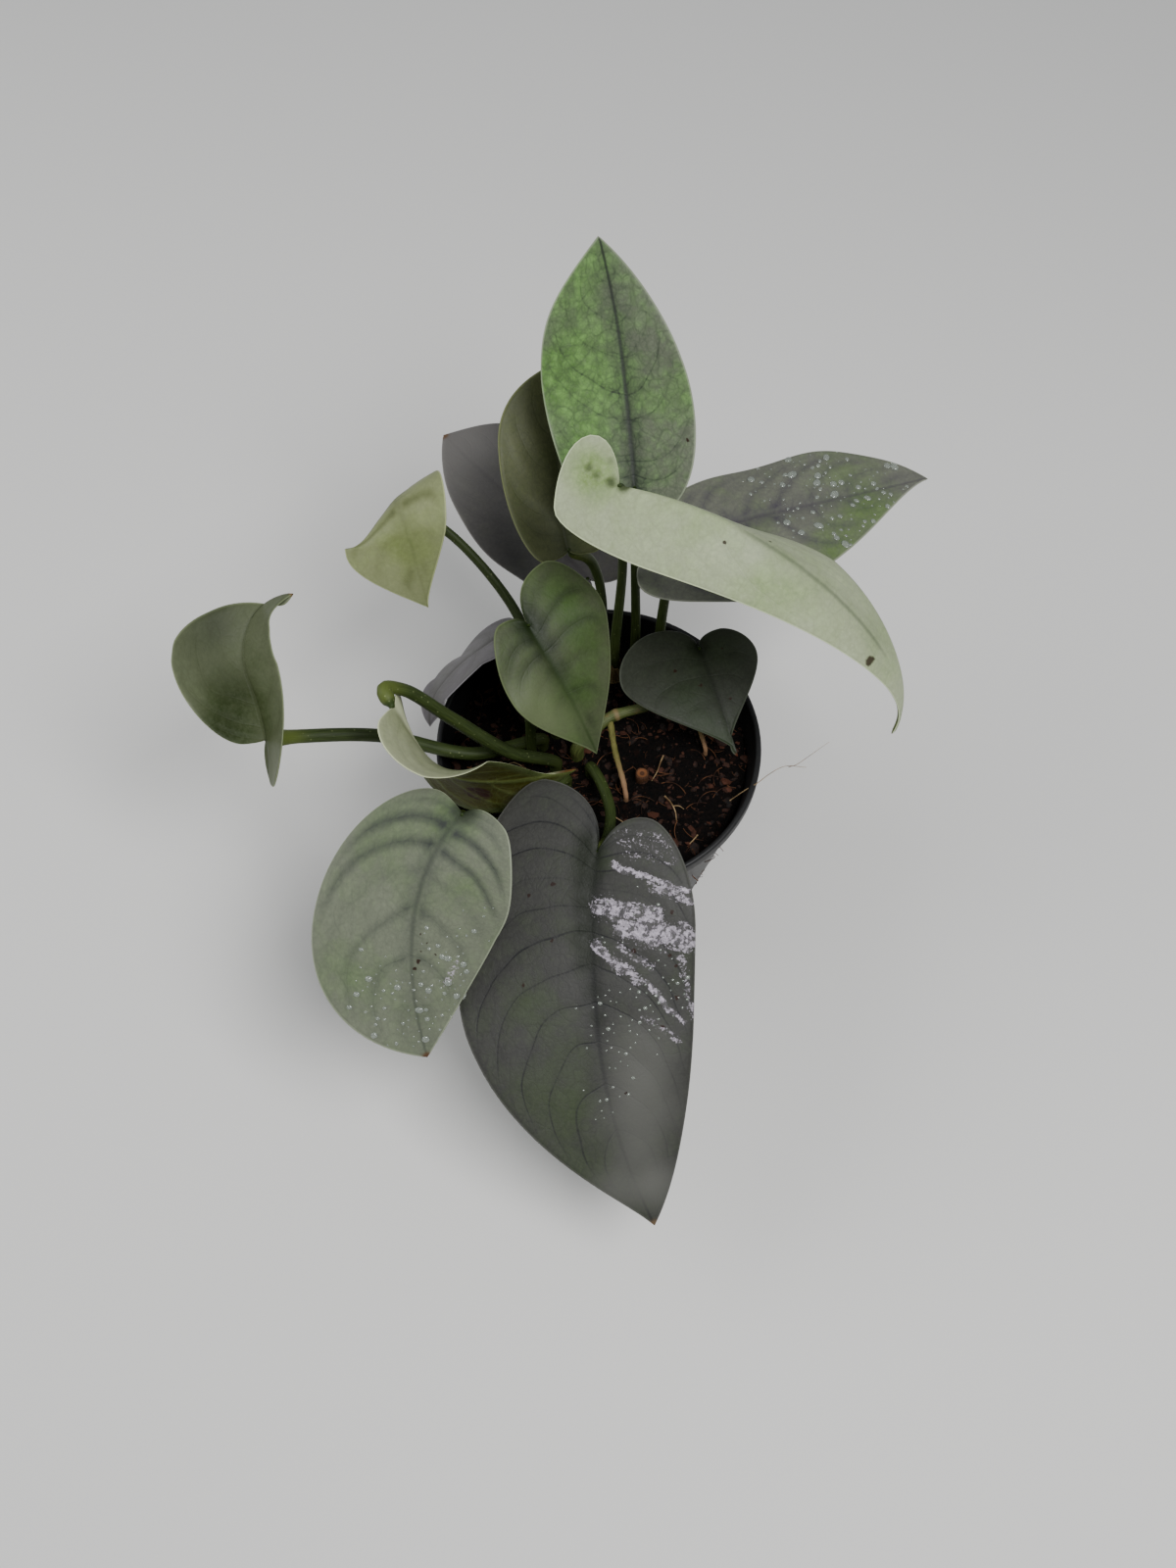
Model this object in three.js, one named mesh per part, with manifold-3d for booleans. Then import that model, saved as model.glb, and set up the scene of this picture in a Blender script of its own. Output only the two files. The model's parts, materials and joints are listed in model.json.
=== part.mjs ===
// A trailing aroid house plant with thick silver-green leaves, growing in a round nursery pot.
// Millimetres, +Z up. The origin is the centre of the pot's flat underside.
import * as THREE from "three";
import { mergeVertices } from "three/addons/utils/BufferGeometryUtils.js";
import Module from "manifold-3d";

const wasm = await Module();
wasm.setup();

// Driving dimensions
const RIM_RADIUS = 60;
const POT_HEIGHT = 95;
const BASE_RADIUS = 42;
const WALL = 1.3;
const FLOOR = 2;
const RIM_HEIGHT = 5;
const RIM_LIP = 0.9;
const DRAIN_RADIUS = 4;
const DRAIN_CIRCLE = 27;
const DRAIN_COUNT = 6;
const SOIL_LEVEL = 85;
const HOLE_DEPTH = 13;
const GAP = 0.3;
const MIDRIB_THICKNESS = 1.3;
const MARGIN_THICKNESS = 0.75;
const BLADE_ROWS = 15;
const BLADE_COLUMNS = 5;
const STALK_SIDES = 8;

// Leaves, each seen with its upper face up and its tip ahead. Heading and pitch are the midrib's
// direction in degrees, roll turns the blade about it, and fold and curl bend each half upwards.
// A list holds readings from the attachment to the tip. Lengths are millimetres.
const LEAVES = {
  "01": {
    at: [12, 56, 172], length: 83, heading: [96, 101, 120], pitch: [40, 48, 60], fold: 15, curl: 10,
    wave: 1.2,
    left: { width: 31, lobe: 8, widest: 0.5, tip: 0.5 },
    right: { width: 23, lobe: 8, widest: 0.25, tip: 0.2 },
    foot: [14, 43], stalk: [[14, 45, 104], [13, 51, 138]], radius: [2.2, 1.9, 1.7, 2.1],
  },
  "02": {
    at: [-11, 46, 150], length: 66, heading: [104, 92, 70], pitch: [30, 40, 45], fold: 10, curl: 10,
    left: { width: 21, lobe: 3, widest: 0.55, tip: 0.4 },
    right: { width: 20, lobe: 3, widest: 0.55, tip: 0.4 },
    foot: [-1, 18], stalk: [[1, 34, 100], [1, 47, 122], [-3, 50, 138]], radius: [2.3, 2, 1.8, 2.2],
  },
  "03": {
    at: [6, 25, 210], length: 151, heading: [-18, -25, -25, -25, -31], pitch: [5, -12, -35, -60, -100],
    roll: [25, 25, 20, 10, 0], curl: -20,
    left: { width: 20, lobe: 4, widest: 0.38, tip: -0.1, fold: [-85, -70, -35, -15, 0] },
    right: { width: 23, lobe: 21, widest: 0.12, tip: -0.02, gap: -1, lobeAt: 0.4, fold: 0 },
    foot: [6, 35], stalk: [[6, 35, 106], [8, 35, 155], [6, 29, 195]], radius: [2.3, 2, 1.8, 1.6, 2.1],
  },
  "04": {
    at: [27, 51, 150], length: 99, heading: [16, 18, 22], pitch: [4, -4, -8], fold: 6, curl: -10, wave: 1.5,
    left: { width: 22.5, lobe: 8, widest: 0.45, tip: 0.5 },
    right: { width: 34, lobe: 18, widest: 0.25, tip: 0.03 },
    foot: [23, 38], stalk: [[23, 40, 110], [25, 46, 132]], radius: [2.3, 2.1, 1.9, 2.2],
  },
  "05": {
    at: [-4, 62, 112], length: 91, heading: [130, 128, 132], pitch: 0, curl: -6, wave: 1.5,
    left: { width: 22, lobe: 8, widest: 0.42, tip: 0.35 },
    right: { width: 24, lobe: 8, widest: 0.6, tip: 0.9 },
    foot: [-7, 10], stalk: [[-8, 30, 94], [-6, 50, 102]], radius: [2.1, 1.9, 1.8, 2],
  },
  "06": {
    at: [-24, 7, 160], length: 52, heading: -52, pitch: [-30, -45, -55], fold: 4, curl: -8, wave: 0.8,
    left: { width: 27, lobe: 15, widest: 0.08, tip: 0.1, lobeAt: 0.6 },
    right: { width: 19, lobe: 5, widest: 0.38, tip: 0.1 },
    foot: [-25, -2], stalk: [[-25, 1, 105], [-26, 6, 138]], radius: [2.3, 2, 1.7, 2],
  },
  "07": {
    at: [37, 30, 112], length: 43, heading: -70, pitch: [-10, -20, -30], fold: 2, curl: -6,
    left: { width: 20, lobe: 5, widest: 0.16, tip: -0.22 },
    right: { width: 32.5, lobe: 11, widest: 0.13, tip: -0.04 },
    stalk: [[34, 20, 99], [38, 27, 103]], radius: [1.8, 1.6, 1.8],
  },
  "08": {
    at: [-75, 76, 138], length: 56, heading: [-75, -68, -65], pitch: [80, -55, -70], roll: [34, 22, 12],
    fold: -5, curl: -10,
    left: { width: 19, lobe: 16, widest: 0.15, tip: 0, lobeAt: 0.75 },
    right: { width: 26, lobe: 6, widest: 0.55, tip: 0.2 },
    foot: [-16, 9], stalk: [[-22, 28, 100], [-33, 50, 112], [-57, 71, 129], [-72, 76, 134]],
    radius: [2.3, 2.1, 2, 1.8, 2],
  },
  "09": {
    at: [-117, -14, 120], length: 63, heading: [102, 116, 70, 0], pitch: [20, 22, 20, 5], curl: 10,
    left: { width: 25.5, lobe: 1, widest: 0.47, tip: -0.3, lobeAt: 0.3, fold: 20 },
    right: { width: 17, lobe: 18, widest: 0.3, tip: 0.6, gap: -0.25, fold: [55, 40, 30] },
    foot: [-21, 4], stalk: [[-46, -7, 98], [-79, -3, 104], [-107, -8, 112]], radius: [2.2, 2.6, 2.7, 2.7],
  },
  10: {
    at: [-69, -19, 149], length: 76, heading: [-54, -38, 2, 16, 16], pitch: [-50, -40, -18, -10, -8],
    roll: [-42, -72, -100, -115, -120], curl: -10,
    left: { width: 26, lobe: 1, widest: 0.5, tip: 0.15, fold: [-15, 25, 15] },
    right: { width: 25, lobe: 1, widest: 0.45, tip: -0.2, lobeAt: 0.32, fold: [0, -20, -45] },
    foot: [-16, -6], stalk: [[-32, -10, 104], [-51, -9, 125], [-66, -9.5, 145], [-72, -13, 151]],
    radius: [2.3, 2.6, 2.7, 2.5, 2.4],
  },
  11: {
    at: [-46, -49, 130], length: 88, heading: [-136, -95, -70], pitch: [-20, -33, -45], fold: 4, curl: -10,
    left: { width: 31, lobe: 8, widest: 0.3, tip: 0.25 },
    right: { width: 34, lobe: 1, widest: 0.5, tip: 0.4, lobeAt: 0.25 },
    foot: [-12, -13], stalk: [[-20, -24, 94], [-36, -38, 103], [-47, -45, 117]],
    radius: [2.3, 2.1, 1.9, 1.9, 2.2],
  },
  12: {
    at: [-1, -54, 112], length: 133, heading: [-96, -82, -57], pitch: [-20, -30, -38], fold: 4, curl: -10,
    wave: 1,
    left: { width: 35, lobe: 14, widest: 0.2, tip: 0.42, gap: 0.07 },
    right: { width: 46, lobe: 22, widest: 0.36, tip: 0.08, gap: -0.04 },
    foot: [-3, -8], stalk: [[1, -18, 95], [4, -32, 99], [2, -48, 106]], radius: [2.3, 2.2, 2.1, 2.3],
  },
  13: {
    at: [-35, 38, 110], length: 49.5, heading: [220, 218, 225, 270], pitch: [5, -10, -35, -75],
    roll: [38, 50, 42, 0], curl: -10,
    left: { width: 18, lobe: 6, widest: 0.26, tip: 0.1 },
    right: { width: 20, lobe: 10, widest: 0.26, tip: 0.1 },
    foot: [-25, 12], stalk: [[-28, 26, 98], [-33, 36, 105]], radius: [2, 1.8, 1.6, 1.8],
  },
};

// Stem, roots and the stump of a pruned stem
const VINE = {
  foot: [-8, 0],
  route: [[-4, 3, 94], [4, 9, 97], [20, 14, 98], [34, 20, 99]],
  radius: [3, 2.6, 2, 1.9],
};
const LONG_ROOT = {
  foot: [10, -19],
  route: [[9, -14, 89.5], [6, -3, 93], [4, 9, 97]],
  radius: [0.9, 1.2, 1.4],
};
const SHORT_ROOT = {
  foot: [40, 1],
  route: [[39, 4, 89], [36, 12, 94], [34, 20, 99]],
  radius: [0.8, 1, 1.2],
};
const STUMP = { foot: [16, -10], height: 4, radius: 2.5 };
const SHEATH = { height: 13, outer: [3.8, 3.2], inner: 2.8, slant: 5 };

const rad = THREE.MathUtils.degToRad;

// A reading that changes evenly along the blade and runs on past both ends.
function along(readings, s) {
  const list = [readings].flat();
  if (list.length === 1) return list[0];
  const last = list.length - 1;
  const i = THREE.MathUtils.clamp(Math.floor(s * last), 0, last - 1);
  return list[i] + (list[i + 1] - list[i]) * (s * last - i);
}

function solidOf(geometry) {
  const bare = geometry.clone();
  bare.deleteAttribute("normal");
  bare.deleteAttribute("uv");
  const merged = mergeVertices(bare, 1e-4);
  const index = [];
  const all = merged.index.array;
  for (let i = 0; i < all.length; i += 3) {
    const [a, b, c] = [all[i], all[i + 1], all[i + 2]];
    if (a !== b && b !== c && c !== a) index.push(a, b, c);
  }
  const vertProperties = merged.attributes.position.array;
  const triVerts = new Uint32Array(index);
  return new wasm.Manifold(new wasm.Mesh({ numProp: 3, vertProperties, triVerts }));
}

function geometryOf(solid) {
  const mesh = solid.getMesh();
  const geometry = new THREE.BufferGeometry();
  geometry.setAttribute("position", new THREE.BufferAttribute(mesh.vertProperties, mesh.numProp));
  geometry.setIndex(new THREE.BufferAttribute(mesh.triVerts, 1));
  return geometry;
}

// Cuts every tool away and keeps the largest piece that is left.
function trimmed(solid, tools) {
  let rest = solid;
  for (const tool of tools) rest = rest.subtract(tool);
  return rest.decompose().sort((a, b) => b.volume() - a.volume())[0];
}

function geometryFrom(points, triangles) {
  const geometry = new THREE.BufferGeometry();
  const numbers = points.flatMap((p) => [p.x, p.y, p.z]);
  geometry.setAttribute("position", new THREE.Float32BufferAttribute(numbers, 3));
  geometry.setIndex(triangles);
  return geometry;
}

// The flat outline of one half: round the lobe, out to the widest place and on to the tip.
function outline(length, half) {
  const { width: w, lobe } = half;
  const lobeAt = half.lobeAt ?? 0.45;
  const gap = (half.gap ?? 0) * w;
  const wide = half.widest * length;
  const point = (x, y) => new THREE.Vector2(x, y);
  const path = new THREE.CurvePath();
  path.add(
    new THREE.CubicBezierCurve(
      point(0, 0),
      point(-0.35 * lobe, gap),
      point(-lobe, 0.1 * w + gap),
      point(-lobe, lobeAt * w),
    ),
  );
  path.add(
    new THREE.CubicBezierCurve(
      point(-lobe, lobeAt * w),
      point(-lobe, (0.55 * lobeAt + 0.45) * w),
      point(wide - 0.55 * (wide + lobe), w),
      point(wide, w),
    ),
  );
  path.add(
    new THREE.CubicBezierCurve(
      point(wide, w),
      point(wide + 0.34 * (length - wide), w),
      point(0.84 * length, 2 * half.tip * w),
      point(length, 0),
    ),
  );
  return path;
}

// The midrib's points and frames, from behind the lobes to the tip.
function midribOf(leaf) {
  const steps = 240;
  const start = (-1.05 * Math.max(leaf.left.lobe, leaf.right.lobe)) / leaf.length;
  const frames = [];
  const place = new THREE.Vector3();
  let before = null;
  for (let i = 0; i <= steps; i++) {
    const s = start + ((1 - start) * i) / steps;
    const heading = rad(along(leaf.heading, s));
    const pitch = rad(along(leaf.pitch, s));
    const roll = rad(along(leaf.roll ?? 0, s));
    const ahead = new THREE.Vector3(
      Math.cos(heading) * Math.cos(pitch),
      Math.sin(heading) * Math.cos(pitch),
      Math.sin(pitch),
    );
    const level = new THREE.Vector3(-Math.sin(heading), Math.cos(heading), 0);
    const above = new THREE.Vector3().crossVectors(ahead, level);
    const side = level.clone().multiplyScalar(Math.cos(roll)).addScaledVector(above, Math.sin(roll));
    const up = above.clone().multiplyScalar(Math.cos(roll)).addScaledVector(level, -Math.sin(roll));
    if (before) place.addScaledVector(before.add(ahead), (0.5 * leaf.length * (1 - start)) / steps);
    before = ahead.clone();
    frames.push({ place: place.clone(), side, up });
  }
  const frameAt = (s) => {
    const f = THREE.MathUtils.clamp(((s - start) / (1 - start)) * steps, 0, steps - 1e-6);
    const i = Math.floor(f);
    const mix = (key) => frames[i][key].clone().lerp(frames[i + 1][key], f - i);
    return { place: mix("place"), side: mix("side"), up: mix("up") };
  };
  const shift = new THREE.Vector3(...leaf.at).sub(frameAt(0).place);
  frames.forEach((frame) => frame.place.add(shift));
  return frameAt;
}

// The share of a half's margin that swings across the midrib's line, where the veins all start
// at the attachment.
function crossed(path) {
  let share = 0;
  for (let u = 0.01; u < 0.4; u += 0.01) if (path.getPoint(u).y < 0) share = u + 0.01;
  return share;
}

// One half's points in space: rows fan out from the midrib as the side veins do.
function halfSurface(leaf, sign, frameAt) {
  const half = sign > 0 ? leaf.left : leaf.right;
  const path = outline(leaf.length, half);
  const fan = Math.max(...[leaf.left, leaf.right].map((side) => crossed(outline(leaf.length, side))));
  const rows = [];
  for (let i = 0; i <= BLADE_ROWS; i++) {
    const u = i / BLADE_ROWS;
    const middle = new THREE.Vector2(leaf.length * (Math.max(0, u - fan) / (1 - fan)) ** 1.9, 0);
    const edge = path.getPoint(u);
    const bend = 0.38 + 0.24 * THREE.MathUtils.clamp(edge.y / (-0.3 * half.width), 0, 1);
    const bow = new THREE.Vector2(middle.x + bend * (edge.x - middle.x), (1 - bend) * edge.y);
    const vein = new THREE.QuadraticBezierCurve(middle, bow, edge);
    const row = [];
    for (let j = 0; j <= BLADE_COLUMNS; j++) {
      const flat = vein.getPoint(j / BLADE_COLUMNS);
      const s = flat.x / leaf.length;
      const frame = frameAt(s);
      const fold = rad(along(half.fold ?? leaf.fold ?? 0, s));
      const curl = (rad(leaf.curl ?? 0) || 1e-6) / half.width;
      const out = (Math.sin(fold + curl * flat.y) - Math.sin(fold)) / curl;
      const rise = (Math.cos(fold) - Math.cos(fold + curl * flat.y)) / curl;
      const ripple = Math.sin(4 * Math.PI * s + (sign > 0 ? 0 : 1.7));
      const wave = (leaf.wave ?? 0) * (flat.y / half.width) ** 2 * ripple;
      row.push(frame.place.addScaledVector(frame.side, sign * out).addScaledVector(frame.up, rise + wave));
    }
    rows.push(row);
  }
  return rows;
}

// A blade of real thickness. Extra makes it fatter all round, as the tool that trims its stalk.
function bladeSolid(leaf, extra = 0) {
  const frameAt = midribOf(leaf);
  const halves = [1, -1].map((sign) => halfSurface(leaf, sign, frameAt));
  const points = [];
  const thick = [];
  const ids = halves.map((rows) =>
    rows.map((row, i) =>
      row.map((point, j) => {
        const shared = j === 0 || i === 0 || i === BLADE_ROWS;
        const known = shared ? points.findIndex((p) => p.distanceTo(point) < 1e-5) : -1;
        if (known >= 0) return known;
        const away = 1 - j / BLADE_COLUMNS;
        thick.push(MARGIN_THICKNESS + (MIDRIB_THICKNESS - MARGIN_THICKNESS) * away ** 2 + 2 * extra);
        return points.push(point) - 1;
      }),
    ),
  );
  const facesOf = ids.map((rows, h) => {
    const faces = [];
    const face = (a, b, c) => a !== b && b !== c && c !== a && faces.push([a, b, c]);
    for (let i = 0; i < BLADE_ROWS; i++)
      for (let j = 0; j < BLADE_COLUMNS; j++) {
        const [a, b, c, d] = [rows[i][j], rows[i + 1][j], rows[i + 1][j + 1], rows[i][j + 1]];
        face(a, ...(h ? [c, b] : [b, c]));
        face(a, ...(h ? [d, c] : [c, d]));
      }
    return faces;
  });
  const normals = points.map(() => new THREE.Vector3());
  for (const [a, b, c] of facesOf.flat()) {
    const n = points[b].clone().sub(points[a]).cross(points[c].clone().sub(points[a]));
    [a, b, c].forEach((k) => normals[k].add(n));
  }
  normals.forEach((n) => n.normalize());
  const spread = (id, inner) => {
    const outward = points[id].clone().sub(points[inner]).normalize();
    points[id].addScaledVector(outward, extra);
  };
  if (extra > 0) {
    for (const row of ids.flatMap((rows) => rows.slice(1, -1))) {
      spread(row[BLADE_COLUMNS], row[BLADE_COLUMNS - 1]);
    }
    spread(0, ids[0][BLADE_ROWS - 5][0]);
    spread(ids[0][BLADE_ROWS][0], ids[0][BLADE_ROWS - 1][0]);
  }
  const top = points.map((p, k) => p.clone().addScaledVector(normals[k], thick[k] / 2));
  const bottom = points.map((p, k) => p.clone().addScaledVector(normals[k], -thick[k] / 2));
  const n = points.length;
  const triangles = facesOf.flat().flatMap(([a, b, c]) => [a, b, c, a + n, c + n, b + n]);
  const [leftRim, rightRim] = ids.map((rows) => rows.map((row) => row[BLADE_COLUMNS]));
  const rim = [...leftRim, ...rightRim.slice(1, -1).reverse()];
  rim.forEach((a, k) => {
    const b = rim[(k + 1) % rim.length];
    triangles.push(a, b, b + n, a, b + n, a + n);
  });
  return solidOf(geometryFrom([...top, ...bottom], triangles));
}

// A round stalk through hand-set points, with closed ends. Extra makes it fatter and longer.
function stalkSolid(route, radii, extra = 0) {
  const points = route.map((p) => new THREE.Vector3(...p));
  if (extra > 0) {
    const [first, second] = points;
    const [beforeLast, last] = points.slice(-2);
    first.addScaledVector(first.clone().sub(second).normalize(), extra);
    last.addScaledVector(last.clone().sub(beforeLast).normalize(), extra);
  }
  const curve = new THREE.CatmullRomCurve3(points, false, "centripetal");
  const steps = Math.max(6, Math.round(curve.getLength() / 7));
  const frames = curve.computeFrenetFrames(steps);
  const vertices = [];
  const triangles = [];
  for (let i = 0; i <= steps; i++) {
    const middle = curve.getPointAt(i / steps);
    const radius = along(radii, i / steps) + extra;
    for (let j = 0; j < STALK_SIDES; j++) {
      const turn = (2 * Math.PI * j) / STALK_SIDES;
      vertices.push(
        middle.clone()
          .addScaledVector(frames.normals[i], radius * Math.cos(turn))
          .addScaledVector(frames.binormals[i], radius * Math.sin(turn)),
      );
    }
  }
  const at = (i, j) => i * STALK_SIDES + (j % STALK_SIDES);
  for (let j = 0; j < STALK_SIDES; j++) {
    for (let i = 0; i < steps; i++)
      triangles.push(at(i, j), at(i, j + 1), at(i + 1, j + 1), at(i, j), at(i + 1, j + 1), at(i + 1, j));
    if (j > 0 && j < STALK_SIDES - 1) {
      triangles.push(at(0, 0), at(0, j + 1), at(0, j));
      triangles.push(at(steps, 0), at(steps, j), at(steps, j + 1));
    }
  }
  return solidOf(geometryFrom(vertices, triangles));
}

// The part of a stalk that stands in the soil, then its route above.
function planted(foot, route, rise = 5) {
  const heights = [SOIL_LEVEL - HOLE_DEPTH + GAP, SOIL_LEVEL + 1, SOIL_LEVEL + rise];
  return [...heights.map((z) => [...foot, z]), ...route];
}

function cylinderSolid(radius, bottom, top, [x, y], sides = 20) {
  const cylinder = new THREE.CylinderGeometry(radius, radius, top - bottom, sides);
  cylinder.rotateX(Math.PI / 2).translate(x, y, (top + bottom) / 2);
  return solidOf(cylinder);
}

// Nursery pot: tapered wall, turned-out rim and a flat base with a ring of drainage holes
const wallInside = (z) => {
  const share = (z - FLOOR) / (POT_HEIGHT - FLOOR);
  return BASE_RADIUS - WALL + share * (RIM_RADIUS - RIM_LIP - BASE_RADIUS);
};

function potGeometry() {
  const shoulder = POT_HEIGHT - RIM_HEIGHT;
  const profile = [
    [0, 0],
    [BASE_RADIUS - 1.5, 0],
    [BASE_RADIUS, 1.5],
    [wallInside(shoulder) + WALL, shoulder],
    [RIM_RADIUS - 0.4, shoulder],
    [RIM_RADIUS, shoulder + 0.6],
    [RIM_RADIUS, POT_HEIGHT - 0.7],
    [RIM_RADIUS - 0.6, POT_HEIGHT],
    [wallInside(POT_HEIGHT) + 0.5, POT_HEIGHT],
    [wallInside(POT_HEIGHT), POT_HEIGHT - 0.6],
    [wallInside(FLOOR), FLOOR],
    [0, FLOOR],
  ];
  const lathe = new THREE.LatheGeometry(profile.map(([r, z]) => new THREE.Vector2(r, z)), 48);
  lathe.rotateX(Math.PI / 2);
  const holes = Array.from({ length: DRAIN_COUNT }, (_, k) => {
    const turn = (2 * Math.PI * k) / DRAIN_COUNT;
    const place = [DRAIN_CIRCLE * Math.cos(turn), DRAIN_CIRCLE * Math.sin(turn)];
    return cylinderSolid(DRAIN_RADIUS, -1, FLOOR + 1, place, 16);
  });
  return geometryOf(trimmed(solidOf(lathe), holes));
}

// Potting mix: fills the pot to below the rim, lightly heaped and uneven, with a hole for each stalk
function soilHeight(x, y) {
  const r = Math.hypot(x, y) / wallInside(SOIL_LEVEL);
  return SOIL_LEVEL - 1.5 * r ** 3 + 0.7 * Math.sin(0.21 * x + 1.3) * Math.cos(0.17 * y + 0.4) - 0.4;
}

function soilGeometry(feet) {
  const rings = 7;
  const sectors = 40;
  const radius = wallInside(SOIL_LEVEL - 3) - GAP;
  const points = [new THREE.Vector3(0, 0, soilHeight(0, 0))];
  for (let k = 1; k <= rings; k++)
    for (let j = 0; j < sectors; j++) {
      const turn = (2 * Math.PI * j) / sectors;
      const [x, y] = [(radius * k * Math.cos(turn)) / rings, (radius * k * Math.sin(turn)) / rings];
      points.push(new THREE.Vector3(x, y, soilHeight(x, y)));
    }
  const low = FLOOR + GAP;
  for (let j = 0; j < sectors; j++) {
    const turn = (2 * Math.PI * j) / sectors;
    const r = wallInside(low) - GAP;
    points.push(new THREE.Vector3(r * Math.cos(turn), r * Math.sin(turn), low));
  }
  const bottom = points.push(new THREE.Vector3(0, 0, low)) - 1;
  const at = (k, j) => 1 + (k - 1) * sectors + (j % sectors);
  const triangles = [];
  for (let j = 0; j < sectors; j++) {
    triangles.push(0, at(1, j), at(1, j + 1));
    for (let k = 1; k <= rings; k++)
      triangles.push(at(k, j), at(k + 1, j), at(k + 1, j + 1), at(k, j), at(k + 1, j + 1), at(k, j + 1));
    triangles.push(bottom, at(rings + 1, j + 1), at(rings + 1, j));
  }
  const holes = feet.map(({ place, radius: r }) =>
    cylinderSolid(r + GAP, SOIL_LEVEL - HOLE_DEPTH, SOIL_LEVEL + 5, place, 12));
  return geometryOf(trimmed(solidOf(geometryFrom(points, triangles)), holes));
}

// The dry papery sheath round the foot of the longest stalk, cut on a slant
function sheathGeometry([x, y]) {
  const [low, high] = SHEATH.outer;
  const bottom = SOIL_LEVEL + 0.6;
  const shell = new THREE.CylinderGeometry(high, low, SHEATH.height, 14);
  shell.rotateX(Math.PI / 2).translate(x, y, bottom + SHEATH.height / 2);
  const slice = new THREE.BoxGeometry(20, 20, 10);
  slice.rotateY(Math.atan2(SHEATH.slant, 2 * high)).translate(x + 2, y, bottom + SHEATH.height + 2.5);
  const bore = cylinderSolid(SHEATH.inner, bottom - 1, bottom + SHEATH.height + 1, [x, y], 14);
  return geometryOf(trimmed(solidOf(shell), [bore, solidOf(slice)]));
}

const material = (color, roughness) => new THREE.MeshStandardMaterial({ color, roughness });
const COLOURS = {
  silver: material(0x8f9880, 0.45),
  olive: material(0x5f6a4c, 0.5),
  grey: material(0x6c6f68, 0.45),
  dark: material(0x454a44, 0.4),
  stalk: material(0x4a5a26, 0.45),
  root: material(0x8a6a4c, 0.8),
  sheath: material(0xa08a5e, 0.8),
  soil: material(0x1d1410, 0.95),
  pot: material(0x101010, 0.4),
};
const BLADE_COLOUR = { "05": "grey", 12: "grey", 13: "grey", "07": "dark", "02": "olive", "06": "olive" };

const plant = new THREE.Group();
function place(name, geometry, colour) {
  const mesh = new THREE.Mesh(geometry, COLOURS[colour]);
  mesh.name = name;
  plant.add(mesh);
}

place("pot", potGeometry(), "pot");

const vineRoute = planted(VINE.foot, VINE.route);
const taken = [stalkSolid(vineRoute, VINE.radius, GAP)];
const feet = [{ place: VINE.foot, radius: VINE.radius[0] }];
place("vine", geometryOf(stalkSolid(vineRoute, VINE.radius)), "stalk");

for (const [number, leaf] of Object.entries(LEAVES).sort(([a], [b]) => Number(a) - Number(b))) {
  const name = String(number).padStart(2, "0");
  const route = leaf.foot ? planted(leaf.foot, leaf.stalk) : [...leaf.stalk];
  route.push(leaf.at);
  const clearances = [GAP, GAP / 3, GAP / 30].map((extra) => bladeSolid(leaf, extra));
  const stalk = trimmed(stalkSolid(route, leaf.radius), [...clearances, ...taken]);
  if (leaf.foot) feet.push({ place: leaf.foot, radius: leaf.radius[0] });
  taken.push(stalkSolid(route, leaf.radius, GAP));
  place("petiole_" + name, geometryOf(stalk), "stalk");
  place("blade_" + name, geometryOf(bladeSolid(leaf)), BLADE_COLOUR[number] ?? "silver");
}

for (const [name, root] of [["aerial_root_long", LONG_ROOT], ["aerial_root_short", SHORT_ROOT]]) {
  const route = planted(root.foot, root.route, 2);
  place(name, geometryOf(trimmed(stalkSolid(route, root.radius), taken)), "root");
  feet.push({ place: root.foot, radius: root.radius[0] });
}

const stumpSpan = [SOIL_LEVEL - HOLE_DEPTH + GAP, SOIL_LEVEL + STUMP.height];
place("cut_stem", geometryOf(cylinderSolid(STUMP.radius, ...stumpSpan, STUMP.foot, 14)), "root");
feet.push({ place: STUMP.foot, radius: STUMP.radius });

place("dry_sheath", sheathGeometry(LEAVES["03"].foot), "sheath");
place("soil", soilGeometry(feet), "soil");

export default plant;
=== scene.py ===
"""The finished looks of a potted aroid with thick silver-green leaves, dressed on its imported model.

Sizes below are millimetres, in the model's own frame: the pot stands on z = 0 and its centre is the
origin. Points become metres where a mesh is made.
"""
import json
import math

import bpy
import numpy as np
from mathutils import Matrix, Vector, noise


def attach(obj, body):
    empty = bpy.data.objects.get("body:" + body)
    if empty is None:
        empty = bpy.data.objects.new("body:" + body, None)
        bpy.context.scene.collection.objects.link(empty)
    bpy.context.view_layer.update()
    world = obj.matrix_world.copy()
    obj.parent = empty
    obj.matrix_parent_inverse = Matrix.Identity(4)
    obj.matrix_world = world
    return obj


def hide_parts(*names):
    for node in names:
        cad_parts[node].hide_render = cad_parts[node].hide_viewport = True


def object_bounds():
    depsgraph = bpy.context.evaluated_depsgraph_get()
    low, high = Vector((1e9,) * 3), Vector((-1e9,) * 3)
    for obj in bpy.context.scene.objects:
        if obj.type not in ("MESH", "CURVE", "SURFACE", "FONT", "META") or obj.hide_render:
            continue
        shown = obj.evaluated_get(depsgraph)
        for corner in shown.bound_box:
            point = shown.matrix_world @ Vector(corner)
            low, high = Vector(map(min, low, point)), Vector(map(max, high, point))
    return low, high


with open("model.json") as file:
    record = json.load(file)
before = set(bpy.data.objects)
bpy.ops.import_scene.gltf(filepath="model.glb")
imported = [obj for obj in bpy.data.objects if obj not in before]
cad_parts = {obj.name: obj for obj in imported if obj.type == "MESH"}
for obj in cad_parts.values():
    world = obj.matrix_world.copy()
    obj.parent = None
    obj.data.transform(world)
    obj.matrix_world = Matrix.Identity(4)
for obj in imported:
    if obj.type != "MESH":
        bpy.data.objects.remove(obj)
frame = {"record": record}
cad_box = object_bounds()

MM = 0.001
SEED = 7
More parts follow.
